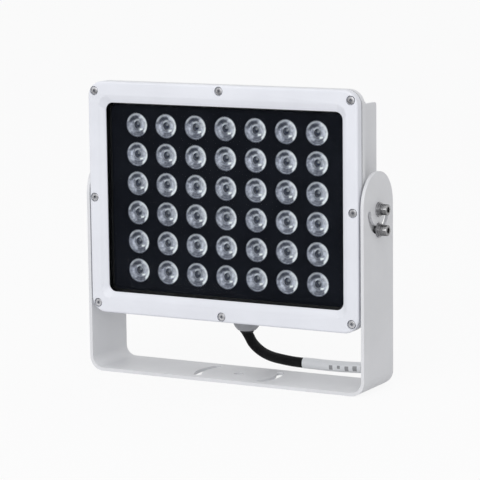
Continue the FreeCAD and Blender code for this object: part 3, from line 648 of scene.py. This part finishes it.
@dataclass(frozen=True)
class CoatedGlass(Finish):
    """Clear front glass that mirrors very little."""

    shine: float = 0.008

    def material(self) -> bpy.types.Material:
        """Builds the glass.

        Returns:
            The material.
        """
        graph = Graph(self.name)
        smear = graph.noise(14.0, 2.0)
        weight = graph.add("ShaderNodeLayerWeight", {}, {"Blend": 0.25})
        facing = Wire(graph, weight.outputs["Fresnel"])
        through = graph.add("ShaderNodeBsdfTransparent", {}, {"Color": self.tone(0)})
        clear = Wire(graph, through.outputs[0])
        mirror = graph.shader({
            "Base Color": (0.02, 0.02, 0.02, 1.0),
            "Metallic": 0.0,
            "Specular IOR Level": 1.0,
            "Roughness": self.roughness + smear.rise(0.4, 0.8) * 0.03,
        })
        return graph.done(graph.between(facing * 0.1 + self.shine, clear, mirror))


@dataclass(frozen=True)
class LeadColours(Finish):
    """Insulation of three leads side by side, each with its own colour."""

    end: Point = (100.0, 62.5, 5.1)
    side: tuple[float, float] = (-0.2513, 0.9679)
    edge: float = 1.1
    stripe_pitch: float = 4.0
    green: Screen = (54, 120, 58)
    yellow: Screen = (214, 190, 60)
    blue: Screen = (44, 84, 148)

    def material(self) -> bpy.types.Material:
        """Builds the insulation.

        Returns:
            The material.
        """
        graph = Graph(self.name)
        across, depth, up = graph.axes()
        off = (across - self.end[0] * MM) * self.side[0] + (depth - self.end[1] * MM) * self.side[1]
        stripe = ((up + depth) * (2 * math.pi / (self.stripe_pitch * MM))).sine().over(0.2)
        middle = graph.mix(stripe, linear(*self.green), linear(*self.yellow))
        first = graph.mix(off.over(-self.edge * MM), self.tone(0), middle)
        colour = graph.mix(off.over(self.edge * MM), first, linear(*self.blue))
        grain = graph.noise(1200.0, 2.0)
        return graph.done(graph.shader({
            "Base Color": colour,
            "Roughness": self.roughness + (grain - 0.5) * 0.15,
            "Normal": graph.bump(grain, 0.00002, 0.4),
        }))


FRAME_PAINT = PowderCoat("frame_paint", (229, 231, 238), 0.42)
HOUSING_PAINT = ChamberPaint("housing_paint", (222, 223, 226), 0.45)
BRACKET_PAINT = PowderCoat("bracket_paint", (222, 223, 226), 0.45)
SEAL = Rubber("seal_rubber", (30, 30, 32), 0.7)
CHANNEL = Rubber("channel_rubber", (12, 12, 14), 0.75, gloss=0.1)
CORD = Rubber("cord_rubber", (11, 11, 13), 0.65, gloss=0.15)
SLEEVE = MarkedSleeve("sleeve_white", (236, 238, 241), 0.45)
MASK = Moulded("mask_black", (16, 18, 26), 0.7, gloss=0.08)
SCREW = TurnedSteel("screw_steel", (188, 188, 191), 0.3)
FRAME_SCREW = SocketSteel("frame_screw_steel", (200, 200, 203), 0.3)
BOLT = TurnedSteel("bolt_steel", (146, 146, 147), 0.24)
WASHER = TurnedSteel("washer_steel", (158, 158, 160), 0.3)
CHIP = Moulded("chip_yellow", (230, 205, 90), 0.35)
BOARD = BoardMask("board_metal", (226, 228, 226), 0.4)
PAD = Rubber("pad_grey", (140, 143, 150), 0.8)
DRIVER = PowderCoat("driver_case", (186, 188, 190), 0.4)
TERMINAL = Moulded("terminal_plastic", (214, 214, 208), 0.45)
LEADS = LeadColours("lead_insulation", (104, 66, 42), 0.4)
COPPER = TurnedSteel("copper", (206, 130, 92), 0.3)
GLAND = Moulded("gland_grey", (166, 167, 171), 0.5)
FRICTION = Moulded("pad_plastic", (200, 201, 203), 0.55)
GLASS = CoatedGlass("tempered_glass", (250, 252, 252), 0.03)
BOWL = LensOptics("lens_clear", (210, 211, 227), 0.24)
PUPIL = LensMiddle("pupil_clear", (28, 34, 54), 0.16)

NODE_FINISHES: dict[str, Finish] = {
    "bracket": BRACKET_PAINT, "supply_cord": CORD, "cord_sleeve": SLEEVE, "cord_leads": LEADS,
    "lead_tips": COPPER, "front_frame": FRAME_PAINT, "frame_screws": SCREW, "body_gasket": SEAL,
    "front_glass": GLASS, "glass_channel": CHANNEL, "mask_tray": MASK, "lenses": BOWL, "led_chips": CHIP,
    "led_board": BOARD, "board_screws": SCREW, "board_wires": LEADS, "thermal_pad": PAD,
    "rear_housing": HOUSING_PAINT, "driver": DRIVER, "driver_screws": SCREW, "terminal_block": TERMINAL,
    "driver_leads": LEADS, "rear_cover": BRACKET_PAINT, "cover_gasket": SEAL, "cover_screws": SCREW,
    "gland_body": GLAND, "gland_ring": SEAL, "gland_nut": GLAND, "gland_seal": SEAL, "held_cord": CORD,
    "cord_cores": LEADS, "pivot_bolts": BOLT, "lock_bolts": BOLT, "flat_washers": WASHER,
    "spring_washers": WASHER, "friction_pads": FRICTION,
}


class Workshop:
    """Common steps of modelling: select, edit, copy, join and finish."""

    def __init__(self) -> None:
        """Starts with no material built."""
        self.built: dict[str, bpy.types.Material] = {}

    def finish_of(self, finish: Finish) -> bpy.types.Material:
        """The material of a finish, built once.

        Args:
            finish: The finish.

        Returns:
            Its material.
        """
        if finish.name not in self.built:
            self.built[finish.name] = finish.material()
        return self.built[finish.name]

    def dress(self, piece: bpy.types.Object, finish: Finish) -> None:
        """Gives a whole piece one finish."""
        piece.data.materials.clear()
        piece.data.materials.append(self.finish_of(finish))

    @staticmethod
    def only(piece: Union[bpy.types.Object, None]) -> None:
        """Selects one object and nothing else.

        Args:
            piece: The object, or None to leave nothing selected.
        """
        for other in bpy.context.selected_objects:
            other.select_set(False)
        if piece is not None:
            piece.select_set(True)
            bpy.context.view_layer.objects.active = piece

    def edit(self, piece: bpy.types.Object, step: Callable[[], None]) -> None:
        """Runs one step in edit mode.

        Args:
            piece: The mesh to work on.
            step: What is done to it.
        """
        self.only(piece)
        bpy.ops.object.mode_set(mode="EDIT")
        step()
        bpy.ops.object.mode_set(mode="OBJECT")

    def pick(self, piece: bpy.types.Object, test: Callable[[bpy.types.MeshPolygon], bool]) -> None:
        """Selects the faces that pass a test.

        Args:
            piece: The mesh, in object mode.
            test: Says whether a face is wanted.
        """
        self.only(piece)
        bpy.ops.object.mode_set(mode="EDIT")
        bpy.ops.mesh.select_mode(type="FACE")
        bpy.ops.mesh.select_all(action="DESELECT")
        bpy.ops.object.mode_set(mode="OBJECT")
        for face in piece.data.polygons:
            face.select = bool(test(face))

    def modify(self, piece: bpy.types.Object, kind: str, **settings: object) -> None:
        """Adds one modifier and applies it.

        Args:
            piece: The mesh to work on.
            kind: The modifier's type.
            settings: Its settings.
        """
        self.only(piece)
        modifier = piece.modifiers.new(kind.lower(), kind)
        for key, value in settings.items():
            setattr(modifier, key, value)
        bpy.ops.object.modifier_apply(modifier=modifier.name)

    def smooth(self, piece: bpy.types.Object, degrees: float) -> None:
        """Shades a piece smooth except over sharp edges."""
        self.only(piece)
        bpy.ops.object.shade_smooth_by_angle(angle=math.radians(degrees))

    def settle(self, piece: bpy.types.Object) -> None:
        """Moves a piece's place, turn and size into its mesh."""
        self.only(piece)
        bpy.ops.object.transform_apply(location=True, rotation=True, scale=True)

    def copies(self, piece: bpy.types.Object, places: Iterable[Matrix], name: str) -> bpy.types.Object:
        """One object made of copies of a piece.

        Args:
            piece: The pattern, which is used up.
            places: Where each copy goes.
            name: The joined object's name.

        Returns:
            The joined object.
        """
        made = []
        for place in places:
            copy = piece.copy()
            copy.data = piece.data.copy()
            copy.data.transform(place)
            bpy.context.scene.collection.objects.link(copy)
            made.append(copy)
        bpy.data.objects.remove(piece)
        self.only(None)
        for copy in made:
            copy.select_set(True)
        bpy.context.view_layer.objects.active = made[0]
        if len(made) > 1:
            bpy.ops.object.join()
        made[0].name = name
        made[0].data.name = name
        return made[0]

    def hand_over(self, piece: bpy.types.Object, body: Body, nodes: Sequence[str], slot: str) -> None:
        """Makes a finished piece ride on its body in place of CAD nodes, and reports it.

        Args:
            piece: The finished piece.
            body: The body it rides on.
            nodes: The CAD nodes it stands for.
            slot: The record's material slot. It is not used.
        """
        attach(piece, body.value)
        if nodes:
            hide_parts(*nodes)
        log.info("%s: %d faces on %s", piece.name, len(piece.data.polygons), body.value)


@dataclass
class SoftEdges:
    """Castings and bent bars whose edges get a small round."""

    shop: Workshop
    weld: float = 0.000004
    flat_within: float = 1.0
    sharp_from: float = 40.0
    widths: dict[str, float] = field(default_factory=lambda: {
        "bracket": 0.5, "front_frame": 0.35, "rear_housing": 0.4, "rear_cover": 0.4,
        "gland_nut": 0.4, "gland_body": 0.3,
    })

    def build(self) -> None:
        """Rounds each listed node on a copy of its mesh."""
        for node, width in self.widths.items():
            self.soften(node, width)

    def soften(self, node: str, width: float) -> None:
        """Rounds one node's edges.

        Args:
            node: The CAD node.
            width: Width of the round, in millimetres.
        """
        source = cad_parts[node]
        piece = source.copy()
        piece.data = source.data.copy()
        piece.parent = None
        piece.matrix_world = Matrix.Identity(4)
        piece.name = node + "_soft"
        bpy.context.scene.collection.objects.link(piece)
        mesh = bmesh.new()
        mesh.from_mesh(piece.data)
        bmesh.ops.remove_doubles(mesh, verts=mesh.verts, dist=self.weld)
        bmesh.ops.dissolve_limit(
            mesh, angle_limit=math.radians(self.flat_within), verts=mesh.verts, edges=mesh.edges
        )
        mesh.to_mesh(piece.data)
        mesh.free()
        self.shop.modify(
            piece, "BEVEL", width=width * MM, segments=2, limit_method="ANGLE",
            angle_limit=math.radians(self.sharp_from), use_clamp_overlap=True, miter_outer="MITER_ARC",
        )
        self.shop.smooth(piece, self.sharp_from)
        self.shop.modify(piece, "WEIGHTED_NORMAL", keep_sharp=True, weight=100)
        finish = NODE_FINISHES[node]
        self.shop.dress(piece, finish)
        body = Body.BRACKET if node == "bracket" else Body.HEAD
        self.shop.hand_over(piece, body, [node], finish.name)


@dataclass
class LensArray:
    """The grid of lenses: a silvered bowl and a small clear lens in each."""

    shop: Workshop
    columns: int = 7
    rows: int = 6
    pitch_x: float = 30.0
    pitch_z: float = 26.4
    middle_z: float = 160.0
    front_y: float = -20.6
    back_y: float = -9.3
    rim_r: float = 11.0
    lip: float = 0.45
    bowl_r: float = 4.2
    bowl_deep: float = 2.8
    rings: int = 9
    sides: int = 40
    pupil_r: float = 3.7
    pupil_front_y: float = -19.8
    dome_high: float = 1.1
    dome_rings: int = 6

    def places(self) -> list[Matrix]:
        """Where each lens stands.

        Returns:
            One move for each lens.
        """
        spots = []
        for column in range(self.columns):
            for row in range(self.rows):
                x = (column - (self.columns - 1) / 2) * self.pitch_x
                z = self.middle_z + (row - (self.rows - 1) / 2) * self.pitch_z
                spots.append(Matrix.Translation(Vector((x, 0.0, z)) * MM))
        return spots

    def disc(self, radius: float, y: float) -> bpy.types.Object:
        """A filled circle that faces the front.

        Args:
            radius: Its radius, in millimetres.
            y: Its depth, in millimetres.

        Returns:
            The disc.
        """
        self.shop.only(None)
        bpy.ops.mesh.primitive_circle_add(
            vertices=self.sides, radius=radius * MM, fill_type="NGON",
            location=(0.0, y * MM, 0.0), rotation=(math.radians(90), 0.0, 0.0),
        )
        piece = bpy.context.active_object
        self.shop.settle(piece)
        return piece

    def step(self, radius_from: float, radius_to: float, y_from: float, y_to: float) -> None:
        """Pulls the selected disc to a new depth and radius, in edit mode.

        Args:
            radius_from: The disc's radius.
            radius_to: The radius it gets.
            y_from: The disc's depth.
            y_to: The depth it gets, all in millimetres.
        """
        bpy.ops.mesh.extrude_region_move(
            TRANSFORM_OT_translate={"value": (0.0, (y_to - y_from) * MM, 0.0)}
        )
        share = radius_to / radius_from
        bpy.ops.transform.resize(
            value=(share, 1.0, share), center_override=(0.0, y_to * MM, 0.0)
        )

    def turned(self, radius: float, y: float, path: Sequence[tuple[float, float]]) -> bpy.types.Object:
        """A closed round shape drawn out of a disc.

        Args:
            radius: Radius of the disc, in millimetres.
            y: Depth of the disc, in millimetres.
            path: Radius and depth of each ring after it, in millimetres.

        Returns:
            The shape.
        """
        piece = self.disc(radius, y)

        def shape() -> None:
            """Pulls the disc through every ring."""
            bpy.ops.mesh.select_all(action="SELECT")
            at_radius, at_y = radius, y
            for next_radius, next_y in path:
                self.step(at_radius, next_radius, at_y, next_y)
                at_radius, at_y = next_radius, next_y
            bpy.ops.mesh.select_all(action="SELECT")
            bpy.ops.mesh.normals_make_consistent(inside=False)

        self.shop.edit(piece, shape)
        return piece

    def bowl(self) -> bpy.types.Object:
        """One bowl, from its outer wall over the lip and down the inside.

        Returns:
            The bowl, with its middle on the Y axis.
        """
        inner = self.rim_r - self.lip
        path = [
            (self.rim_r, self.front_y + 1.2),
            (self.rim_r, self.front_y + 0.15),
            (self.rim_r - 0.15, self.front_y),
            (inner, self.front_y),
        ]
        for ring in range(1, self.rings + 1):
            share = ring / self.rings
            out = inner - (inner - self.bowl_r) * share
            deep = ((inner ** 2 - out ** 2) / (inner ** 2 - self.bowl_r ** 2)) ** 0.9
            path.append((out, self.front_y + self.bowl_deep * deep))
        return self.turned(self.bowl_r + 1.0, self.back_y, path)

    def pupil(self) -> bpy.types.Object:
        """One small domed lens on a short stem, with a groove round it.

        Returns:
            The lens, with its middle on the Y axis.
        """
        base = self.pupil_front_y + self.dome_high
        rim = self.pupil_r - 0.7
        path = [(self.pupil_r, base), (self.pupil_r - 0.35, base - 0.25), (self.pupil_r - 0.6, base)]
        for ring in range(self.dome_rings + 1):
            angle = math.radians(84 * ring / self.dome_rings)
            path.append((rim * math.cos(angle), base - (base - self.pupil_front_y) * math.sin(angle)))
        return self.turned(self.pupil_r - 0.5, self.front_y + self.bowl_deep - 0.3, path)

    def build(self) -> None:
        """Builds the bowls and the small lenses and puts them in every place."""
        for name, pattern, finish, nodes in (
            ("lens_bowls", self.bowl, BOWL, ["lenses"]),
            ("lens_pupils", self.pupil, PUPIL, []),
        ):
            lenses = self.shop.copies(pattern(), self.places(), name)
            self.shop.smooth(lenses, 50)
            self.shop.dress(lenses, finish)
            self.shop.hand_over(lenses, Body.HEAD, nodes, BOWL.name)


@dataclass(frozen=True)
class ScrewSize:
    """Sizes of one kind of socket-head screw, in millimetres."""

    head_r: float
    head_high: float
    sides: int
    edge: float
    edge_steps: int
    socket: float
    socket_deep: float
    shank_r: float
    shank_long: float


SMALL_SCREW = ScrewSize(3.4, 2.0, 36, 0.5, 3, 2.5, 1.3, 2.0, 9.9)
CAP_SCREW = ScrewSize(4.78, 6.0, 60, 0.45, 2, 5.0, 3.0, 3.0, 20.0)


@dataclass
class Fasteners:
    """Screws that show: the frame's small ones and the knurled ones at the pivot."""

    shop: Workshop
    pivot_z: float = 160.0
    lock_drop: float = 18.0
    face_y: float = -32.0
    seat_deep: float = 2.6
    under_head_x: float = 141.8
    ridge_turn: float = 12.0
    ridge_deep: float = 0.2
    middle_x: float = 129.0
    middle_z: float = 100.0
    corner_x: float = 127.5
    corner_z: float = 96.5

    def drum(self, radius: float, high: float, sides: int) -> bpy.types.Object:
        """A round bar that stands on the origin, along +Z.

        Args:
            radius: Its radius, in millimetres.
            high: Its height, in millimetres.
            sides: How many sides stand for the round.

        Returns:
            The bar.
        """
        self.shop.only(None)
        bpy.ops.mesh.primitive_cylinder_add(
            vertices=sides, radius=radius * MM, depth=high * MM, location=(0.0, 0.0, high / 2 * MM)
        )
        piece = bpy.context.active_object
        self.shop.settle(piece)
        return piece

    def cut_socket(self, piece: bpy.types.Object, flats: float, top: float, deep: float) -> None:
        """Cuts a six-sided socket into the top of a screw head.

        Args:
            piece: The head, standing along +Z.
            flats: Size across the socket's flats, in millimetres.
            top: Height of the head, in millimetres.
            deep: Depth of the socket, in millimetres.
        """
        cutter = self.drum(flats / math.sqrt(3), deep + 1.0, 6)
        cutter.data.transform(Matrix.Translation((0.0, 0.0, (top - deep) * MM)))
        self.shop.modify(piece, "BOOLEAN", operation="DIFFERENCE", object=cutter, solver="EXACT")
        bpy.data.objects.remove(cutter)

    def head(self, size: ScrewSize) -> bpy.types.Object:
        """A socket head with a rounded edge, along +Z.

        Args:
            size: The screw's sizes.

        Returns:
            The head.
        """
        piece = self.drum(size.head_r, size.head_high, size.sides)
        self.shop.pick(piece, lambda face: face.normal.z > 0.9)
        self.shop.edit(piece, lambda: bpy.ops.mesh.bevel(
            offset=size.edge * MM, segments=size.edge_steps, affect="EDGES", offset_type="OFFSET"
        ))
        self.cut_socket(piece, size.socket, size.head_high, size.socket_deep)
        return piece

    def add_shank(self, piece: bpy.types.Object, size: ScrewSize) -> None:
        """Insets the head's underside and pulls out a shank.

        Args:
            piece: The head.
            size: The screw's sizes.
        """
        share = size.shank_r / size.head_r

        def step() -> None:
            """Extrudes in place, shrinks, and extrudes along Z."""
            bpy.ops.mesh.extrude_region_move(TRANSFORM_OT_translate={"value": (0.0, 0.0, 0.0)})
            bpy.ops.transform.resize(value=(share, share, 1.0), center_override=(0.0, 0.0, 0.0))
            bpy.ops.mesh.extrude_region_move(
                TRANSFORM_OT_translate={"value": (0.0, 0.0, -size.shank_long * MM)}
            )

        self.shop.pick(piece, lambda face: face.normal.z < -0.9 and face.center.z < 0.1 * MM)
        self.shop.edit(piece, step)

    def small_screw(self) -> bpy.types.Object:
        """Small button-edged screw, its head along +Z.

        Returns:
            The screw.
        """
        piece = self.head(SMALL_SCREW)
        self.add_shank(piece, SMALL_SCREW)
        return piece

    def cap_screw(self) -> bpy.types.Object:
        """Knurled socket-head screw, its head along +Z.

        Returns:
            The screw.
        """
        piece = self.head(CAP_SCREW)

        def on_ridge(face: bpy.types.MeshPolygon) -> bool:
            """Every other face of the head's side.

            Args:
                face: One face of the head.

            Returns:
                Whether it is pulled in.
            """
            if abs(face.normal.z) > 0.2 or face.center.xy.length < 4.0 * MM:
                return False
            turn = math.degrees(math.atan2(face.center.y, face.center.x)) % self.ridge_turn
            return 0.0 < turn < self.ridge_turn / 2

        self.shop.pick(piece, on_ridge)
        self.shop.edit(piece, lambda: bpy.ops.mesh.extrude_faces_move(
            TRANSFORM_OT_shrink_fatten={"value": -self.ridge_deep * MM}
        ))
        self.add_shank(piece, CAP_SCREW)
        return piece

    def frame_places(self) -> list[Matrix]:
        """Where the frame's eight screws stand, each turned a little differently.

        Returns:
            One move for each screw.
        """
        spots = [(0.0, self.middle_z), (0.0, -self.middle_z), (self.middle_x, 0.0), (-self.middle_x, 0.0)]
        for x in (-self.corner_x, self.corner_x):
            spots += [(x, -self.corner_z), (x, self.corner_z)]
        front = Matrix.Rotation(math.radians(90), 4, "X")
        seat_y = self.face_y + self.seat_deep
        places = []
        for number, (x, z) in enumerate(spots):
            spin = Matrix.Rotation(math.radians(37.0 * number), 4, "Z")
            places.append(Matrix.Translation(Vector((x, seat_y, self.pivot_z + z)) * MM) @ front @ spin)
        return places

    def side_places(self, z: float) -> list[Matrix]:
        """Where the two screws of one height stand, one on each side.

        Args:
            z: Their height, in millimetres.

        Returns:
            One move for each screw.
        """
        places = []
        for side, spin in ((1, 12.0), (-1, 31.0)):
            aim = Matrix.Rotation(math.radians(90 * side), 4, "Y")
            turn = Matrix.Rotation(math.radians(spin), 4, "Z")
            spot = Vector((side * self.under_head_x, 0.0, z)) * MM
            places.append(Matrix.Translation(spot) @ aim @ turn)
        return places

    def build(self) -> None:
        """Builds the screws and puts them in."""
        small = self.shop.copies(self.small_screw(), self.frame_places(), "frame_screw_set")
        self.shop.smooth(small, 30)
        self.shop.dress(small, FRAME_SCREW)
        self.shop.hand_over(small, Body.HEAD, ["frame_screws"], SCREW.name)
        for name, node, z in (
            ("pivot_screw_set", "pivot_bolts", self.pivot_z),
            ("lock_screw_set", "lock_bolts", self.pivot_z - self.lock_drop),
        ):
            pair = self.shop.copies(self.cap_screw(), self.side_places(z), name)
            self.shop.smooth(pair, 30)
            self.shop.dress(pair, BOLT)
            self.shop.hand_over(pair, Body.HEAD, [node], BOLT.name)


@dataclass
class SupplyCord:
    """The cord from the gland to the floor, with its sleeve."""

    shop: Workshop
    radius: float = 4.7
    length: float = 0.1357
    sleeve_r: float = 5.05
    sleeve_from: float = 36.0
    sleeve_to: float = 95.0
    sleeve_edge: float = 0.18
    route: tuple[Point, ...] = (
        (0.0, 16.0, 37.9), (1.4, 17.2, 34.9), (2.8, 21.1, 27.2), (6.7, 30.2, 18.2), (11.2, 41.4, 11.7),
        (18.2, 51.5, 7.7), (28.6, 57.1, 5.2), (42.9, 58.0, 5.1), (62.0, 56.4, 5.1), (81.9, 57.8, 5.1),
        (100.0, 62.5, 5.1),
    )

    def line(self) -> bpy.types.Object:
        """The cord's line as one open spline, begun a little inside the gland.

        Returns:
            The line as a curve object.
        """
        first, second = (Vector(place) for place in self.route[:2])
        inside = first + (first - second).normalized() * self.radius
        places = [inside, *self.route[1:]]
        data = bpy.data.curves.new("cord_line", "CURVE")
        data.dimensions = "3D"
        data.resolution_u = 14
        spline = data.splines.new("NURBS")
        spline.points.add(len(places) - 1)
        for point, place in zip(spline.points, places):
            point.co = (*(value * MM for value in place), 1.0)
        spline.order_u = 3
        spline.use_endpoint_u = True
        line = bpy.data.objects.new("cord_line", data)
        bpy.context.scene.collection.objects.link(line)
        bpy.context.view_layer.update()
        return line

    @staticmethod
    def evaluated(line: bpy.types.Object) -> bpy.types.Mesh:
        """The mesh that a curve stands for now.

        Args:
            line: The curve.

        Returns:
            Its mesh.
        """
        bpy.context.view_layer.update()
        state = bpy.context.evaluated_depsgraph_get()
        return bpy.data.meshes.new_from_object(line.evaluated_get(state))

    def tube(self, line: bpy.types.Object, radius: float, name: str) -> bpy.types.Object:
        """A round tube along a curve, closed at its ends.

        Args:
            line: The curve.
            radius: Radius of the tube, in millimetres.
            name: Name of the new object.

        Returns:
            The tube as a mesh object.
        """
        line.data.bevel_depth = radius * MM
        line.data.bevel_resolution = 6
        line.data.use_fill_caps = True
        mesh = self.evaluated(line)
        line.data.bevel_depth = 0.0
        mesh.name = name
        piece = bpy.data.objects.new(name, mesh)
        bpy.context.scene.collection.objects.link(piece)

        def close() -> None:
            """Welds the caps to the tube."""
            bpy.ops.mesh.select_all(action="SELECT")
            bpy.ops.mesh.remove_doubles(threshold=0.000002)
            bpy.ops.mesh.normals_make_consistent(inside=False)

        self.shop.edit(piece, close)
        self.shop.smooth(piece, 40)
        return piece

    def cut_level(self, piece: bpy.types.Object) -> None:
        """Cuts the cord off level where the gland ends.

        Args:
            piece: The cord's tube.
        """
        level = self.route[0][2] * MM

        def cut() -> None:
            """Takes off what stands above the cut and closes it."""
            bpy.ops.mesh.select_all(action="SELECT")
            bpy.ops.mesh.bisect(
                plane_co=(0.0, 0.0, level), plane_no=(0.0, 0.0, 1.0), use_fill=True, clear_outer=True
            )

        self.shop.edit(piece, cut)

    def sleeve_line(self, path: Sequence[Vector]) -> bpy.types.Object:
        """The stretch of the cord's own line that the sleeve covers.

        Args:
            path: Points along the cord, in metres.

        Returns:
            The stretch as a curve.
        """
        inside = [point for point in path if self.sleeve_from * MM <= point.x <= self.sleeve_to * MM]
        data = bpy.data.curves.new("sleeve_line", "CURVE")
        data.dimensions = "3D"
        spline = data.splines.new("POLY")
        spline.points.add(len(inside) - 1)
        for point, place in zip(spline.points, inside):
            point.co = (*place, 1.0)
        line = bpy.data.objects.new("sleeve_line", data)
        bpy.context.scene.collection.objects.link(line)
        return line

    def build(self) -> None:
        """Builds the cord and its sleeve."""
        line = self.line()
        exit_z = self.route[0][2] * MM
        path = [vertex.co.copy() for vertex in self.evaluated(line).vertices if vertex.co.z <= exit_z]
        cord = self.tube(line, self.radius, "supply_cord_tube")
        self.cut_level(cord)
        self.shop.dress(cord, CORD)
        sleeve_line = self.sleeve_line(path)
        sleeve = self.tube(sleeve_line, self.sleeve_r, "marking_sleeve")
        self.shop.modify(
            sleeve, "BEVEL", width=self.sleeve_edge * MM, segments=2, limit_method="ANGLE",
            angle_limit=math.radians(60),
        )
        self.shop.dress(sleeve, SLEEVE)
        for used in (line, sleeve_line):
            bpy.data.objects.remove(used)
        self.shop.hand_over(cord, Body.BRACKET, ["supply_cord"], CORD.name)
        self.shop.hand_over(sleeve, Body.BRACKET, ["cord_sleeve"], SLEEVE.name)
        cord.parent = None
        cord.matrix_world = Matrix.Identity(4)
        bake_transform(cord)


@dataclass
class Studio:
    """Floor, lamps, sky and camera."""

    shop: Workshop
    eye: Point = (0.9868, -1.8199, 0.4449)
    ahead: Point = (-0.47012, 0.86924, -0.15297)
    roll: float = 0.66
    focal: float = 176.2
    sky: float = 0.69
    floor_drop: float = 0.0002
    floor_white: float = 0.9
    aim: Point = (0.0, 0.0, 0.16)
    card_corners: tuple[Point, ...] = (
        (-0.05, -0.3, 0.002), (0.25, -0.8, 0.002), (-1.05, -2.6, 0.002), (-3.0, -2.6, 0.002),
    )

    def see_white(self, graph: Graph) -> Wire:
        """One for rays that show the backdrop, else nought.

        Args:
            graph: The material's node tree.

        Returns:
            One or nought.
        """
        rays = graph.add("ShaderNodeLightPath").outputs
        camera, glossy, through = (
            Wire(graph, rays[name]) for name in ("Is Camera Ray", "Is Glossy Ray", "Is Transmission Ray")
        )
        return camera.larger(glossy).larger(through)

    def floor(self) -> None:
        """Wide pale floor that shows nearly white and keeps a soft shadow."""
        self.shop.only(None)
        bpy.ops.mesh.primitive_plane_add(size=60.0, location=(0.0, 0.0, -self.floor_drop))
        floor = bpy.context.active_object
        floor.name = "floor"
        graph = Graph("floor_white")
        paint = graph.shader({"Base Color": (0.75, 0.75, 0.76, 1.0), "Roughness": 0.9})
        shine = graph.add("ShaderNodeEmission", {}, {"Color": (1, 1, 1, 1), "Strength": 1.0})
        glow = Wire(graph, shine.outputs[0])
        surface = graph.between(self.see_white(graph) * self.floor_white, paint, glow)
        floor.data.materials.append(graph.done(surface))

    def card(self, name: str, corners: Sequence[Point]) -> None:
        """A black card that only gloss shows, as photographers hold up against glass.

        Args:
            name: The card's name.
            corners: Its corners in order, in metres.
        """
        self.shop.only(None)
        bpy.ops.mesh.primitive_plane_add(size=1.0)
        card = bpy.context.active_object
        card.name = name
        round_the_edge = (0, 1, 3, 2)
        for number, corner in zip(round_the_edge, corners):
            card.data.vertices[number].co = corner
        graph = Graph(name)
        black = graph.shader({"Base Color": (0.004, 0.004, 0.005, 1.0), "Roughness": 1.0})
        card.data.materials.append(graph.done(black))
        for ray in ("camera", "diffuse", "shadow", "transmission", "volume_scatter"):
            setattr(card, "visible_" + ray, False)

    def sky_light(self) -> None:
        """Even pale sky, white where it is seen."""
        world = bpy.data.worlds.new("studio_sky")
        bpy.context.scene.world = world
        world.use_nodes = True
        tree = world.node_tree
        tree.nodes.clear()
        rays = tree.nodes.new("ShaderNodeLightPath")
        seen = tree.nodes.new("ShaderNodeMath")
        seen.operation = "MAXIMUM"
        tree.links.new(rays.outputs["Is Camera Ray"], seen.inputs[0])
        tree.links.new(rays.outputs["Is Glossy Ray"], seen.inputs[1])
        level = tree.nodes.new("ShaderNodeMapRange")
        level.inputs["To Min"].default_value = self.sky
        level.inputs["To Max"].default_value = 1.0
        tree.links.new(seen.outputs[0], level.inputs["Value"])
        light = tree.nodes.new("ShaderNodeBackground")
        light.inputs["Color"].default_value = (1.0, 1.0, 1.0, 1.0)
        tree.links.new(level.outputs[0], light.inputs["Strength"])
        out = tree.nodes.new("ShaderNodeOutputWorld")
        tree.links.new(light.outputs[0], out.inputs["Surface"])

    def lamp(self, name: str, place: Point, size: float, power: float) -> None:
        """One soft square lamp that faces the part.

        Args:
            name: The lamp's name.
            place: Where it hangs, in metres.
            size: Side of the square, in metres.
            power: Power in watts.
        """
        data = bpy.data.lights.new(name, "AREA")
        data.size = size
        data.energy = power
        lamp = bpy.data.objects.new(name, data)
        bpy.context.scene.collection.objects.link(lamp)
        lamp.location = place
        lamp.rotation_euler = (Vector(self.aim) - Vector(place)).to_track_quat("-Z", "Y").to_euler()

    def camera(self) -> None:
        """The camera at the photograph's place."""
        data = bpy.data.cameras.new("view_camera")
        data.lens = self.focal
        data.sensor_width = 36.0
        data.clip_start = 0.1
        data.clip_end = 200.0
        camera = bpy.data.objects.new("view_camera", data)
        bpy.context.scene.collection.objects.link(camera)
        ahead = Vector(self.ahead).normalized()
        turn = Quaternion(ahead, math.radians(self.roll)) @ ahead.to_track_quat("-Z", "Y")
        camera.location = self.eye
        camera.rotation_euler = turn.to_euler()
        bpy.context.scene.camera = camera

    def build(self) -> None:
        """Builds the whole studio."""
        self.floor()
        self.sky_light()
        self.card("card_front", self.card_corners)
        self.lamp("front_softbox", (0.35, -2.5, 1.1), 1.3, 22.5)
        self.lamp("top_softbox", (0.3, -0.9, 2.4), 1.4, 6.0)
        self.camera()
        bpy.context.scene.view_settings.view_transform = "Standard"


def dress_nodes(shop: Workshop) -> None:
    """Gives every CAD node its finish."""
    for name, finish in NODE_FINISHES.items():
        shop.dress(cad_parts[name], finish)


def main() -> None:
    """Builds the dressed lamp and its studio."""
    logging.basicConfig(level=logging.INFO, format="%(name)s: %(message)s")
    shop = Workshop()
    dress_nodes(shop)
    Studio(shop).build()
    SupplyCord(shop).build()
    SoftEdges(shop).build()
    LensArray(shop).build()
    Fasteners(shop).build()


if __name__ == "__main__":
    main()
